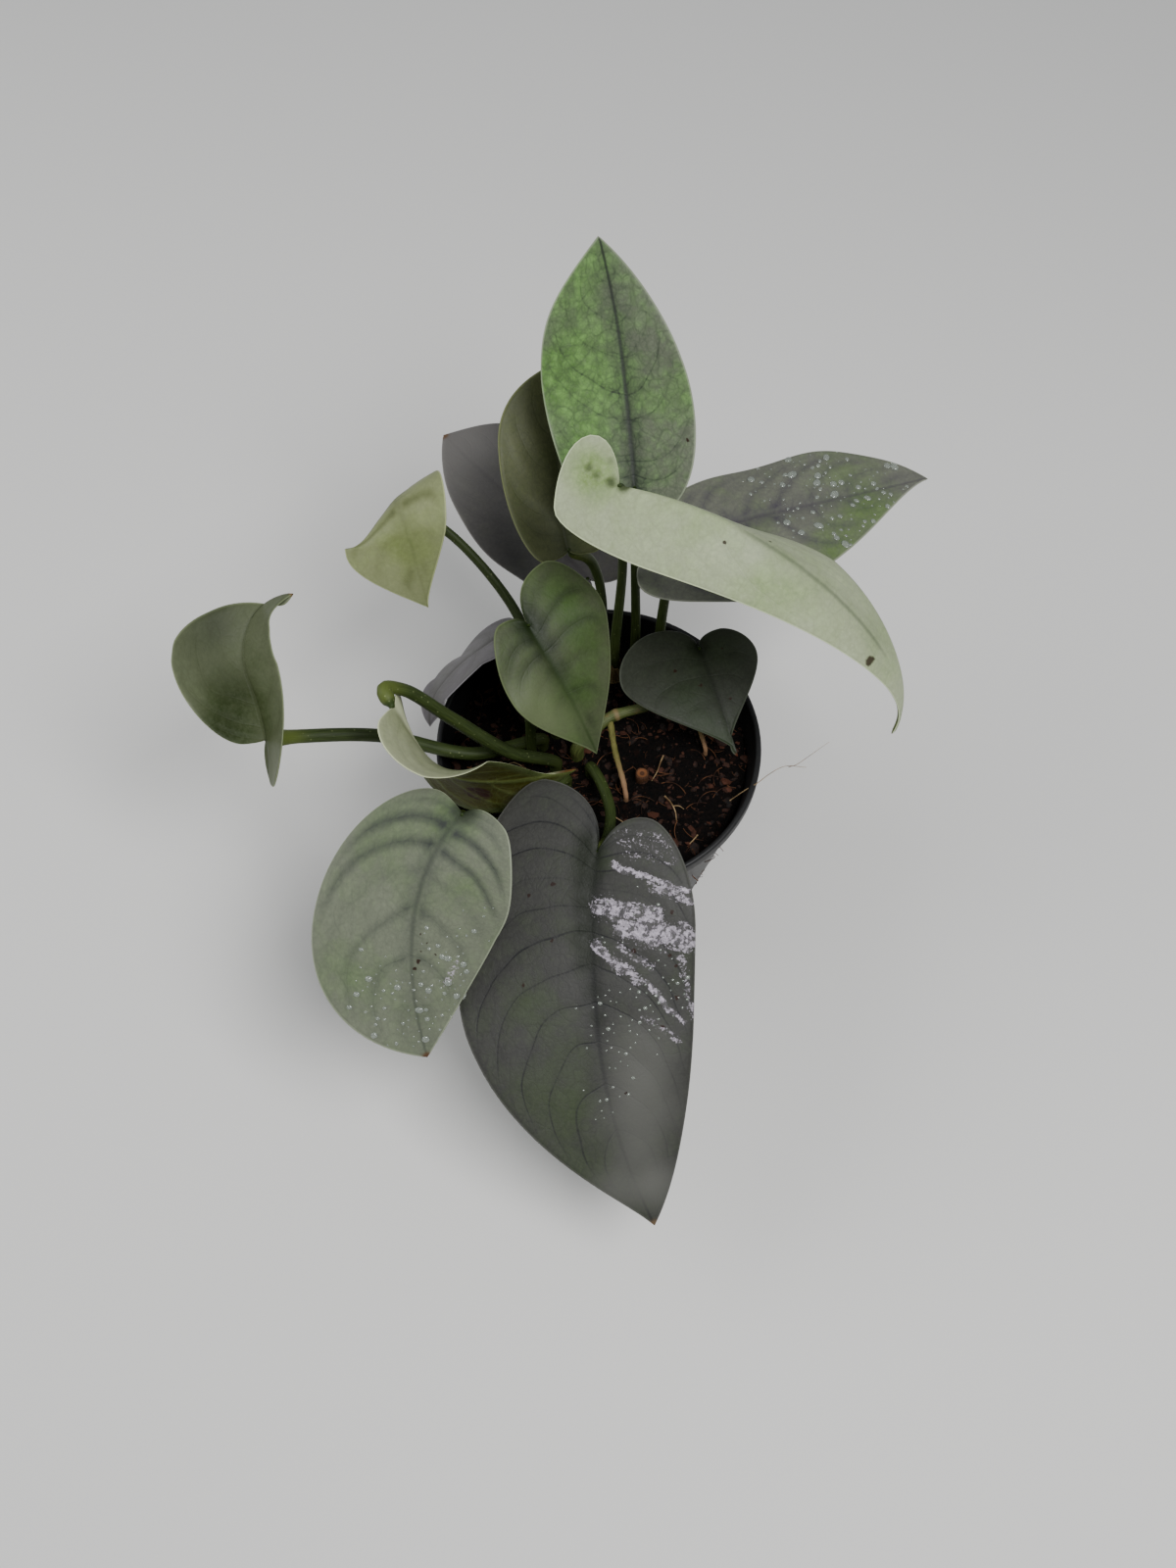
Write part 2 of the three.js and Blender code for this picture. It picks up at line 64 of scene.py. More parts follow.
# Marks on a mesh stay near 1: places on the flat leaf and a stalk's run in decimetres, reaches in centimetres
DM = 100
CM = 10

# Pot and soil
RIM_RADIUS = 60
POT_HEIGHT = 95
BASE_RADIUS = 42
WALL = 1.3
FLOOR = 2
RIM_HEIGHT = 5
RIM_LIP = 0.9
DRAIN_RADIUS = 4
DRAIN_CIRCLE = 27
DRAIN_COUNT = 6
SOIL_LEVEL = 85
HOLE_DEPTH = 13
GAP = 0.3
CORNER = 1.2

# Leaf surface
ROWS = 84
COLUMNS = 20
MIDRIB_THICKNESS = 1.25
MARGIN_THICKNESS = 0.7
RIDGE = 0.9
QUILT = 0.12
ARCH = 0.17
RIB_REACH = 4
MARGIN_ROUND = 0.14
WAVE_SHIFT = 1.7

# Leaves: heading and pitch give the midrib's direction in degrees, roll turns the blade about it, and fold and
# curl bend each half upwards. Lists hold readings from the attachment to the tip. Each half has its width, the
# reach of its lobe behind the attachment, the share of the length where it is widest, and how full it is towards
# the tip. Gap opens or closes the notch and lobe_at sets where the lobe is roundest, as shares of the width.
# Stalks stand in the mix at their foot, or grow from the creeping stem, with readings of their radius.
LEAVES = {
    1: dict(
        at=(12, 56, 172), length=83, heading=[96, 101, 120], pitch=[40, 48, 60], fold=[15], curl=10, wave=1.2,
        left=dict(width=31, lobe=8, widest=0.5, tip=0.5),
        right=dict(width=23, lobe=8, widest=0.25, tip=0.2),
        foot=(14, 43), stalk=[(14, 45, 104), (13, 51, 138)], radius=[2.2, 1.9, 1.7, 2.1],
    ),
    2: dict(
        at=(-11, 46, 150), length=66, heading=[104, 92, 70], pitch=[30, 40, 45], fold=[10], curl=10,
        left=dict(width=21, lobe=3, widest=0.55, tip=0.4),
        right=dict(width=20, lobe=3, widest=0.55, tip=0.4),
        foot=(-1, 18), stalk=[(1, 34, 100), (1, 47, 122), (-3, 50, 138)], radius=[2.3, 2, 1.8, 2.2],
    ),
    3: dict(
        at=(6, 25, 210), length=151, heading=[-18, -25, -25, -25, -31], pitch=[5, -12, -35, -60, -100],
        roll=[25, 25, 20, 10, 0], curl=-20,
        left=dict(width=20, lobe=4, widest=0.38, tip=-0.1, fold=[-85, -70, -35, -15, 0]),
        right=dict(width=23, lobe=21, widest=0.12, tip=-0.02, gap=-1, lobe_at=0.4, fold=[0]),
        foot=(6, 35), stalk=[(6, 35, 106), (8, 35, 155), (6, 29, 195)], radius=[2.3, 2, 1.8, 1.6, 2.1],
    ),
    4: dict(
        at=(27, 51, 150), length=99, heading=[16, 18, 22], pitch=[4, -4, -8], fold=[6], curl=-10, wave=1.5,
        left=dict(width=22.5, lobe=8, widest=0.45, tip=0.5),
        right=dict(width=34, lobe=18, widest=0.25, tip=0.03),
        foot=(23, 38), stalk=[(23, 40, 110), (25, 46, 132)], radius=[2.3, 2.1, 1.9, 2.2],
    ),
    5: dict(
        at=(-4, 62, 112), length=91, heading=[130, 128, 132], pitch=[0], curl=-6, wave=1.5,
        left=dict(width=22, lobe=8, widest=0.42, tip=0.35),
        right=dict(width=24, lobe=8, widest=0.6, tip=0.9),
        foot=(-7, 10), stalk=[(-8, 30, 94), (-6, 50, 102)], radius=[2.1, 1.9, 1.8, 2],
    ),
    6: dict(
        at=(-24, 7, 160), length=52, heading=[-52], pitch=[-30, -45, -55], fold=[4], curl=-8, wave=0.8,
        left=dict(width=27, lobe=15, widest=0.08, tip=0.1, lobe_at=0.6),
        right=dict(width=19, lobe=5, widest=0.38, tip=0.1),
        foot=(-25, -2), stalk=[(-25, 1, 105), (-26, 6, 138)], radius=[2.3, 2, 1.7, 2],
    ),
    7: dict(
        at=(37, 30, 112), length=43, heading=[-70], pitch=[-10, -20, -30], fold=[2], curl=-6,
        left=dict(width=20, lobe=5, widest=0.16, tip=-0.22),
        right=dict(width=32.5, lobe=11, widest=0.13, tip=-0.04),
        stalk=[(34, 20, 99), (38, 27, 103)], radius=[1.8, 1.6, 1.8],
    ),
    8: dict(
        at=(-75, 76, 138), length=56, heading=[-75, -68, -65], pitch=[80, -55, -70], roll=[34, 22, 12],
        fold=[-5], curl=-10,
        left=dict(width=19, lobe=16, widest=0.15, tip=0, lobe_at=0.75),
        right=dict(width=26, lobe=6, widest=0.55, tip=0.2),
        foot=(-16, 9), stalk=[(-22, 28, 100), (-33, 50, 112), (-57, 71, 129), (-72, 76, 134)],
        radius=[2.3, 2.1, 2, 1.8, 2],
    ),
    9: dict(
        at=(-117, -14, 120), length=63, heading=[102, 116, 70, 0], pitch=[20, 22, 20, 5], curl=10,
        left=dict(width=25.5, lobe=1, widest=0.47, tip=-0.3, lobe_at=0.3, fold=[20]),
        right=dict(width=17, lobe=18, widest=0.3, tip=0.6, gap=-0.25, fold=[55, 40, 30]),
        foot=(-21, 4), stalk=[(-46, -7, 98), (-79, -3, 104), (-107, -8, 112)], radius=[2.2, 2.6, 2.7, 2.7],
    ),
    10: dict(
        at=(-69, -19, 149), length=76, heading=[-54, -38, 2, 16, 16], pitch=[-50, -40, -18, -10, -8],
        roll=[-42, -72, -100, -115, -120], curl=-10,
        left=dict(width=26, lobe=1, widest=0.5, tip=0.15, fold=[-15, 25, 15]),
        right=dict(width=25, lobe=1, widest=0.45, tip=-0.2, lobe_at=0.32, fold=[0, -20, -45]),
        foot=(-16, -6), stalk=[(-32, -10, 104), (-51, -9, 125), (-66, -9.5, 145), (-72, -13, 151)],
        radius=[2.3, 2.6, 2.7, 2.5, 2.4],
    ),
    11: dict(
        at=(-46, -49, 130), length=88, heading=[-136, -95, -70], pitch=[-20, -33, -45], fold=[4], curl=-10,
        left=dict(width=31, lobe=8, widest=0.3, tip=0.25),
        right=dict(width=34, lobe=1, widest=0.5, tip=0.4, lobe_at=0.25),
        foot=(-12, -13), stalk=[(-20, -24, 94), (-36, -38, 103), (-47, -45, 117)],
        radius=[2.3, 2.1, 1.9, 1.9, 2.2],
    ),
    12: dict(
        at=(-1, -54, 112), length=133, heading=[-96, -82, -57], pitch=[-20, -30, -38], fold=[4], curl=-10,
        wave=1,
        left=dict(width=35, lobe=14, widest=0.2, tip=0.42, gap=0.07),
        right=dict(width=46, lobe=22, widest=0.36, tip=0.08, gap=-0.04),
        foot=(-3, -8), stalk=[(1, -18, 95), (4, -32, 99), (2, -48, 106)], radius=[2.3, 2.2, 2.1, 2.3],
    ),
    13: dict(
        at=(-35, 38, 110), length=49.5, heading=[220, 218, 225, 270], pitch=[5, -10, -35, -75],
        roll=[38, 50, 42, 0], curl=-10,
        left=dict(width=18, lobe=6, widest=0.26, tip=0.1),
        right=dict(width=20, lobe=10, widest=0.26, tip=0.1),
        foot=(-25, 12), stalk=[(-28, 26, 98), (-33, 36, 105)], radius=[2, 1.8, 1.6, 1.8],
    ),
}

STEM = dict(foot=(-8, 0), route=[(-4, 3, 94), (4, 9, 97), (20, 14, 98), (34, 20, 99)], radius=[3, 2.6, 2, 1.9])
STEM_RINGS = (0.42, 0.56, 0.78, 0.98)
LONG_ROOT = dict(foot=(10, -19), route=[(9, -14, 89.5), (6, -3, 93), (4, 9, 97)], radius=[0.9, 1.2, 1.4])
SHORT_ROOT = dict(foot=(40, 1), route=[(39, 4, 89), (36, 12, 94), (34, 20, 99)], radius=[0.8, 1, 1.2])
# Strands that reach over the rim: half thickness, then places
STRANDS = [
    (0.2, [(48.3, -19.4, 85), (53.2, -19, 92), (57.6, -17.9, 95.7), (61.9, -14.7, 96.5), (67.8, -11.7, 97),
           (75.8, -11.3, 95.5)]),
    (0.12, [(69, -12, 96.9), (71.8, -11.2, 97.2), (76.5, -7.9, 97.5), (84.6, -1.4, 97)]),
]
STUMP = dict(foot=(16, -10), height=4, radius=2.5)
SHEATH = dict(height=13, outer=(3.8, 3.2), inner=2.8, slant=5)
CHIPS_PER_CM2 = 14.0
FIBRES_PER_CM2 = 2.6
# Fine roots on the mix: half thickness, then places (x, y, height over the mix)
FINE_ROOTS = [
    (0.32, [(24.2, -0.4, 0.5), (23, -3.9, 1.8), (21.8, -7.4, 1.4), (19.6, -11, 0.2)]),
    (0.35, [(24.4, -17.3, 0.2), (26.4, -20.5, 1.8), (28, -23.9, 1.5), (28.5, -28.3, 0.2)]),
    (0.25, [(27.3, -21.8, 1.5), (29.4, -22, 2.1), (31.3, -22.4, 0.5)]),
    (0.3, [(35.9, -33.4, 0.5), (34.3, -36.1, 2), (32.6, -37.4, 0.4)]),
    (0.3, [(-27, -6, 0.3), (-32, -4, 1.4), (-37, -6, 0.4)]),
    (0.25, [(6, -26, 0.3), (10, -30, 1.2), (12, -36, 0.4), (8, -40, 0.3)]),
]

# Leaf finishes. Colours are those of a screen, 0 to 255: the silver skin, the green and the grey of its patches
# and veins, the midrib. Leaves 2, 5, 7 and 12, which lie in the shade of others, have darker colours: painted
# shade over their own tone. Veins counts the side veins each way; bands, lines, net and groove say how strongly
# their soft bands, their fine lines, the net and the midrib show, core how dark the midrib is, channel how deep,
# relief how far the bands sink, faint how much they fade to the tip, glow how the cells light up. The midrib's
# darkness is its own colour, deepened by painted shade of its groove. Patches (green), stains, shade (painted
# shade in notches, folds and along the midrib groove), pale (painted light and highlights), gleam (glossy) and dew
# (drops, the largest of size drop) are places in flat millimetres, ahead of the attachment and to the left of the
# midrib, with a reach and a strength. A stain has a reach alone. Films are streaks of water whose pale colour is a
# painted reflection of the lamp: two ends, half a width and a strength. Burnt is the reach of a dry tip.
USUAL = dict(faint=0.4, core=0.65, relief=0.45, channel=1, drop=1.3)
FINISHES = {
    1: dict(
        silver=(98, 104, 88), green=(92, 126, 68), vein=(58, 66, 54), rib=(46, 50, 46), veins=10,
        bands=0.3, lines=0.4, net=1.0, groove=1.0,
        patches=[(40, 20, 36, 1.2), (8, 18, 24, 0.9), (80, 12, 26, 0.9), (30, -18, 18, 0.4)],
        stains=[(14, -20, 0.8)],
        glow=0.5,
        relief=0.9,
        core=0.85,
    ),
    # Darker colours, partly painted shade: this leaf lies under leaf 1.
    2: dict(
        silver=(80, 84, 58), green=(62, 74, 34), vein=(46, 52, 38), rib=(44, 50, 34), veins=8,
        bands=0.3, lines=0.05, net=0.4, groove=0.7,
        relief=0.15,
    ),
    3: dict(
        silver=(156, 165, 134), green=(116, 138, 82), vein=(112, 120, 96), rib=(72, 80, 66), veins=11,
        bands=0.12, lines=0.0, net=0.5, groove=0.75, ribbed=(34, 112),
        patches=[(-9, 2, 14, 1.2), (60, -10, 26, 0.45), (20, 14, 30, 0.55), (100, 4, 22, 0.35)],
        stains=[(102.5, -5.8, 2.2), (37.8, -6.2, 0.8), (50.8, 2.9, 0.8)],
        shade=[(-11, 4, 2.4, 0.7), (-8, 2, 2.6, 0.6), (-3, 0.5, 3, 0.9), (1.5, 0, 3.4, 1.2), (-5, 7, 2, 0.4)],
    ),
    4: dict(
        silver=(102, 104, 93), green=(88, 110, 60), vein=(70, 66, 75), rib=(64, 58, 70), veins=10,
        bands=0.8, lines=0.1, net=0.5, groove=1.0,
        patches=[(70, 8, 24, 0.4), (20, -16, 20, 0.3), (72, -12, 20, 0.8), (52, -22, 18, 0.7)],
        dew=[(62, 12, 22, 0.9), (80, 0, 16, 0.9), (40, 12, 14, 0.7), (60, -12, 16, 0.7), (46, -4, 14, 0.7)],
        drop=1.7,
        core=0.35,
    ),
    # Darker colours, partly painted shade: this leaf lies under leaves 1 and 2.
    5: dict(
        silver=(86, 84, 82), green=(80, 84, 68), vein=(78, 76, 76), rib=(70, 66, 68), veins=10,
        bands=0.4, lines=0.1, net=0.4, groove=0.7,
        burnt=2.5, burn=(104, 82, 62),
        pale=[(85, 0, 46, 0.5), (80, -10, 20, 0.3)],
    ),
    6: dict(
        silver=(70, 77, 55), green=(56, 80, 32), vein=(40, 47, 31), rib=(42, 56, 28), veins=7,
        bands=1.0, lines=0.0, net=0.3, groove=1.0,
        patches=[(-2, 14, 14, 0.8), (12, 14, 14, 0.7), (26, 4, 14, 0.7), (44, -8, 16, 0.6)],
        relief=0.12,
        shade=[(0, 0, 9, 1.0), (9, 1, 7, 0.6), (18, 1, 6, 0.4)],
        faint=0.3,
        pale=[(24, -14, 16, 0.5), (36, -8, 14, 0.35)],
    ),
    # Darkest colours, painted shade: this leaf lies under leaf 3.
    7: dict(
        silver=(53, 56, 48), green=(44, 55, 34), vein=(30, 32, 26), rib=(28, 30, 24), veins=6,
        bands=0.2, lines=0.05, net=0.4, groove=0.6,
        patches=[(40, -8, 20, 0.9), (4, 4, 16, 0.6), (18, -12, 16, 0.6)],
        burnt=1.5, burn=(80, 44, 30),
        relief=0.2,
        stains=[(6, -12, 0.8), (14, -5, 0.6), (22, 4, 0.6), (3, 8, 0.6)],
        shade=[(0, 0, 6, 0.8)],
    ),
    8: dict(
        silver=(128, 134, 98), green=(106, 120, 64), vein=(92, 98, 64), rib=(66, 72, 46), veins=6,
        bands=1.3, lines=0.0, net=0.3, groove=0.7,
        patches=[(30, 0, 20, 0.5), (50, 10, 16, 0.5)],
        core=0.2,
        channel=0.3,
        faint=0.1,
    ),
    9: dict(
        silver=(90, 96, 74), green=(50, 62, 30), vein=(64, 70, 46), rib=(58, 64, 42), veins=6,
        bands=0.35, lines=0.05, net=0.3, groove=0.8,
        patches=[(4, 12, 24, 1.0), (14, 4, 20, 0.8)],
        burnt=1.6, burn=(124, 92, 60),
        core=0.6,
        channel=0.0,
        shade=[(20, 7, 14, 0.4), (36, 15, 15, 0.35), (42, 9, 13, 0.35), (6, 14, 14, 0.4)],
    ),
    10: dict(
        silver=(146, 150, 122), green=(112, 122, 80), vein=(112, 118, 88), rib=(104, 112, 78), veins=8,
        bands=0.25, lines=0.0, net=0.3, groove=0.5,
        patches=[(30, -12, 18, 0.6), (8, 4, 14, 0.5)],
        stains=[(30, -9, 0.7), (41, -13, 0.6), (52, -8, 0.6)],
        burnt=7, burn=(104, 76, 44),
        channel=0.3,
        # Pale places here are the painted highlight along the blade near its base.
        pale=[(-1, 4.6, 7, 1.0), (5, 7, 8, 1.0), (11, 7, 8, 1.0), (18, 5, 7, 0.7)],
        ochre=0.92, bruises=[(43.2, 11.5, 5.2)],
    ),
    11: dict(
        silver=(106, 111, 95), green=(84, 101, 66), vein=(60, 64, 60), rib=(56, 60, 56), veins=8,
        bands=1.3, lines=0.1, net=0.4, groove=0.85,
        patches=[(4, 0, 15, 1.0), (24, 16, 18, 0.4), (16, -20, 18, 0.5), (60, -22, 16, 0.5)],
        stains=[(53.4, 2.3, 0.9), (56, 1, 0.7), (50, 3.4, 0.5), (-8, -10, 0.6), (-4, -16, 0.5), (44, 3, 0.5),
                (51, 8, 0.5), (47, 5.5, 0.4)],
        dew=[(66, -8, 18, 0.9), (74, 2, 14, 0.9), (56, -12, 12, 0.6), (50, 14, 16, 0.8), (64, 8, 14, 0.9),
             (30, 22, 8, 0.5)],
        gleam=[(70, 4, 14)],
        burnt=2.2, burn=(88, 62, 42),
        shade=[(-2, 0, 7)],
        faint=0.9,
        relief=0.8,
        glow=0.2,
        core=0.5,
        # This film is a painted glare of the lamp on the wet skin.
        films=[(63, 11, 54, 15, 1.6, 0.55)],
    ),
    # Darker colours, partly the leaf's own greyer tone and partly painted shade.
    12: dict(
        silver=(62, 62, 59), green=(60, 71, 46), vein=(40, 40, 41), rib=(34, 34, 35), veins=13,
        bands=0.3, lines=0.9, net=0.5, groove=0.9,
        patches=[(3, 0, 9, 1.2), (76, -18, 22, 0.7), (98, -12, 24, 0.6), (50, -22, 16, 0.5), (124, 0, 16, 0.5)],
        stains=[(44, -24, 0.8), (30, -14, 0.6), (62, 22, 0.9), (40, 28, 0.9), (20, 27, 0.8), (84, 6, 0.6),
                (34, 14, 1.0), (36, 26, 0.9), (52, 28, 1.1), (12, -14, 0.9), (16, -22, 0.7)],
        dew=[(60, 8, 20, 0.8), (50, 22, 18, 0.8), (88, 2, 14, 0.3), (22, 10, 16, 0.3)],
        films=[(-6, 9, -5, 24, 3.0, 0.42), (0, 10, 1, 26, 1.6, 0.4), (4, 6, 12, 32, 1.2, 1.0),
               (10, 20, 16, 34, 2.2, 0.7), (19, 3, 22, 20, 3.6, 0.95), (26, 12, 30, 32, 4.6, 0.95),
               (32, 1, 44, 15, 1.8, 0.85), (33, 10, 40, 20, 1.4, 0.6), (44, 16, 61, 29, 0.9, 1.0),
               (36, 30, 60, 33, 1.2, 0.6), (58, 16, 68, 27, 1.1, 0.5)],
        shade=[(-2, -2.5, 9, 1.0), (6, -3, 9, 0.9), (14, -3, 8, 0.8), (22, -3, 8, 0.8), (30, -3, 8, 0.8),
               (38, -2.5, 7, 0.7), (47, -1, 6, 0.5), (57, 0, 5, 0.3)],
        burnt=2.5, burn=(104, 86, 64),
        drop=0.8,
        relief=0.35,
        channel=0.5,
        core=0.8,
        pale=[(72, 14, 20, 0.7), (92, 10, 22, 0.8), (112, 3, 18, 0.6), (122, 7, 14, 0.6),
              (116, -10, 14, 0.4)],
    ),
    13: dict(
        silver=(100, 97, 100), green=(86, 90, 76), vein=(74, 74, 68), rib=(66, 66, 60), veins=6,
        bands=0.5, lines=0.05, net=0.4, groove=0.7,
    ),
}
BACK = dict(silver=(74, 82, 50), green=(52, 62, 28), rib=(86, 96, 52))
OCHRE = (56, 54, 14)
BRUISE = (44, 22, 15)
STAIN = (44, 27, 20)
# Pale violet-white of a water film: a painted reflection of the lamp.
FILM_PAINTED_REFLECTION = (190, 181, 193)
DEW_PER_CM2 = 18
DROPS_APART = 1.9
SMALLEST_DROP = 0.3

# Camera and lamps
EYE = (-4, -294.3, 593.5)
DOWN = 61
LENS = 36
SENSOR = 36
LIT_PLACE = (0, 0, 0.12)


def linear(colour):
    """A colour of the screen, 0 to 255, as the shader's own light values."""
    return tuple((c / 255) ** 2.2 for c in colour) + (1.0,)


# Meshes


def smooth(low, high, value):
    """0 below low, 1 above high and a soft step between."""
    t = np.clip((value - low) / (high - low), 0, 1)
    return t * t * (3 - 2 * t)


def mesh_piece(name, points, faces, finishes, marks=None, which=None):
    """A closed mesh from points in millimetres, kept inside the solids' box. Marks are named vectors."""
    points = np.clip(np.asarray(points, float), np.array(cad_box[0]) / MM, np.array(cad_box[1]) / MM)
    _, keep, same = np.unique(np.round(points, 5), axis=0, return_index=True, return_inverse=True)
    same = same.reshape(-1)
    kept, kinds = [], []
    for number, face in enumerate(faces):
        ring = [int(same[k]) for k in face]
        ring = [k for i, k in enumerate(ring) if k != ring[i - 1]]
        if len(set(ring)) >= 3:
            kept.append(ring)
            kinds.append(which[number] if which is not None else 0)
    mesh = bpy.data.meshes.new(name)
    mesh.from_pydata((points[keep] * MM).tolist(), [], kept)
    for label, values in (marks or {}).items():
        layer = mesh.attributes.new(label, "FLOAT_VECTOR", "POINT")
        layer.data.foreach_set("vector", np.asarray(values, np.float32)[keep].ravel())
    mesh.polygons.foreach_set("material_index", kinds)
    mesh.polygons.foreach_set("use_smooth", [True] * len(kept))
    for finish in finishes:
        mesh.materials.append(finish)
    mesh.update()
    return placed(name, mesh)


def placed(name, data):
    """A new object in the scene."""
    made = bpy.data.objects.new(name, data)
    bpy.context.scene.collection.objects.link(made)
    return made


def around(sides):
    """The angles of a round piece's sides."""
    return np.linspace(0, 2 * math.pi, sides, endpoint=False)


def run_along(path):
    """The length run at each point of a path."""
    return np.concatenate([[0], np.cumsum(np.linalg.norm(np.diff(path, axis=0), axis=1))])


def grid_faces(rows, columns, start=0, closed=False, flip=False):
    """Quads of a grid of points, row by row. Closed joins the last column to the first."""
    faces = []
    for i in range(rows - 1):
        for j in range(columns if closed else columns - 1):
            k = (j + 1) % columns
            face = [start + i * columns + j, start + (i + 1) * columns + j,
                    start + (i + 1) * columns + k, start + i * columns + k]
            faces.append(face[::-1] if flip else face)
    return faces


def shown(piece, slot, *nodes):
    """Fixes a finished piece to the plant in place of the model's nodes."""
    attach(piece, "root")
    if nodes:
        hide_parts(*nodes)
    return piece


# Leaf shape


def along(readings, s):
    """A reading that changes evenly along the blade and runs on past both ends."""
    values = np.asarray(readings, float)
    if len(values) == 1:
        return np.full_like(s, values[0])
    last = len(values) - 1
    i = np.clip(np.floor(s * last), 0, last - 1).astype(int)
    return values[i] + (values[i + 1] - values[i]) * (s * last - i)


def cubic(points, t):
    a, b, c, d = (np.array(p, float) for p in points)
    t = t[:, None]
    return (1 - t) ** 3 * a + 3 * (1 - t) ** 2 * t * b + 3 * (1 - t) * t * t * c + t ** 3 * d


def outline(length, half):
    """The flat edge of one half, from the attachment round the lobe to the tip, and the share of it."""
    w, lobe = half["width"], half["lobe"]
    lobe_at = half.get("lobe_at", 0.45)
    gap = half.get("gap", 0) * w
    wide = half["widest"] * length
    t = np.linspace(0, 1, 300)
    path = np.vstack([
        cubic([(0, 0), (-0.35 * lobe, gap), (-lobe, 0.1 * w + gap), (-lobe, lobe_at * w)], t),
        cubic([(-lobe, lobe_at * w), (-lobe, (0.55 * lobe_at + 0.45) * w),
               (wide - 0.55 * (wide + lobe), w), (wide, w)], t)[1:],
        cubic([(wide, w), (wide + 0.34 * (length - wide), w),
               (0.84 * length, 2 * half["tip"] * w), (length, 0)], t)[1:],
    ])
    run = run_along(path)
    return path, run / run[-1]


def crossed(length, half):
    """The share of the edge that swings across the midrib's line."""
    path, share = outline(length, half)
    over = share[(path[:, 1] < 0) & (share > 0.01) & (share < 0.4)]
    return over.max() if len(over) else 0.0


def flat_half(leaf, half):
    """Flat points of one half: rows fan out from the midrib as its side veins do."""
    length = leaf["length"]
    path, share = outline(length, half)
    fan = max(crossed(length, leaf[side]) for side in ("left", "right"))
    u = np.linspace(0, 1, ROWS + 1)
    edge = np.stack([np.interp(u, share, path[:, 0]), np.interp(u, share, path[:, 1])], -1)
    middle = np.stack([length * (np.maximum(0, u - fan) / (1 - fan)) ** 1.9, 0 * u], -1)
    bend = 0.38 + 0.24 * np.clip(edge[:, 1] / (-0.3 * half["width"]), 0, 1)
    bow = np.stack([middle[:, 0] + bend * (edge[:, 0] - middle[:, 0]), (1 - bend) * edge[:, 1]], -1)
    t = np.linspace(0, 1, COLUMNS + 1)[None, :, None]
    return (1 - t) ** 2 * middle[:, None] + 2 * t * (1 - t) * bow[:, None] + t * t * edge[:, None]


def slope_on(flat, value):
    """How fast a value changes over the flat leaf, per millimetre."""
    (xi, xj), (yi, yj), (vi, vj) = (np.gradient(a) for a in (flat[..., 0], flat[..., 1], value))
    area = xi * yj - xj * yi
    area = np.where(np.abs(area) < 1e-4, 1e-4, area)
    return np.hypot((yj * vi - yi * vj) / area, (xi * vj - xj * vi) / area)


def midrib(leaf):
    """Stations along the midrib with its place, side and up directions."""
    length = leaf["length"]
    start = -1.05 * max(leaf["left"]["lobe"], leaf["right"]["lobe"]) / length
    s = np.linspace(start, 1, 400)
    heading, pitch, roll = (np.radians(along(leaf.get(key, [0]), s)) for key in ("heading", "pitch", "roll"))
    ahead = np.stack([np.cos(heading) * np.cos(pitch), np.sin(heading) * np.cos(pitch), np.sin(pitch)], -1)
    level = np.stack([-np.sin(heading), np.cos(heading), 0 * heading], -1)
    above = np.cross(ahead, level)
    side = level * np.cos(roll)[:, None] + above * np.sin(roll)[:, None]
    up = above * np.cos(roll)[:, None] - level * np.sin(roll)[:, None]
    steps = (ahead[1:] + ahead[:-1]) / 2 * length * (s[1] - s[0])
    place = np.cumsum(np.vstack([np.zeros((1, 3)), steps]), 0)
    origin = np.array([np.interp(0, s, place[:, k]) for k in range(3)])
    return s, place - origin + np.array(leaf["at"], float), side, up


def leaf_half(leaf, sign, veins):
    """Middle surface, its normals and the marks of one half of a blade."""
    half = leaf["left" if sign > 0 else "right"]
    flat = flat_half(leaf, half)
    length, width = leaf["length"], half["width"]
    s, y = flat[..., 0] / length, flat[..., 1]
    stations, place, side, up = midrib(leaf)

    def at(track):
        return np.stack([np.interp(s, stations, track[:, k]) for k in range(3)], -1)

    fold = np.radians(along(half.get("fold", leaf.get("fold", [0])), s))
    curl = (math.radians(leaf.get("curl", 0)) or 1e-6) / width
    out = (np.sin(fold + curl * y) - np.sin(fold)) / curl
    rise = (np.cos(fold) - np.cos(fold + curl * y)) / curl
    wave = leaf.get("wave", 0) * (y / width) ** 2 * np.sin(4 * np.pi * s + (0 if sign > 0 else WAVE_SHIFT))
    surface = at(place) + at(side) * (sign * out)[..., None] + at(up) * (rise + wave)[..., None]

    u = np.linspace(0, 1, ROWS + 1)[:, None] + 0 * y
    t = np.linspace(0, 1, COLUMNS + 1)[None, :] + 0 * y
    rib = np.abs(y)
    steps = np.linalg.norm(np.diff(flat, axis=1), axis=2)
    margin = np.concatenate([np.cumsum(steps[:, ::-1], 1)[:, ::-1], 0 * steps[:, :1]], 1)
    phase = u - ARCH * t ** 2.6
    spacing = 1 / np.maximum(slope_on(flat, phase), 0.002)

    tilt = (fold + curl * y) * smooth(0, 2.5, rib)
    normal = at(up) * np.cos(tilt)[..., None] - at(side) * (sign * np.sin(tilt))[..., None]
    normal /= np.linalg.norm(normal, axis=2, keepdims=True)
    nearest = np.abs((phase * veins + 0.5) % 1 - 0.5) / veins * spacing
    relief = QUILT * smooth(0, 3.5, nearest) * smooth(2, 9, rib) * smooth(1, 10, margin)
    surface = surface + normal * relief[..., None]
    marks = dict(
        flat=np.stack([flat[..., 0] / DM, sign * y / DM, 0 * y], -1),
        veins=np.stack([phase, t, spacing / DM], -1),
        reach=np.stack([rib / CM, margin / CM, s], -1),
    )
    return surface, normal, marks


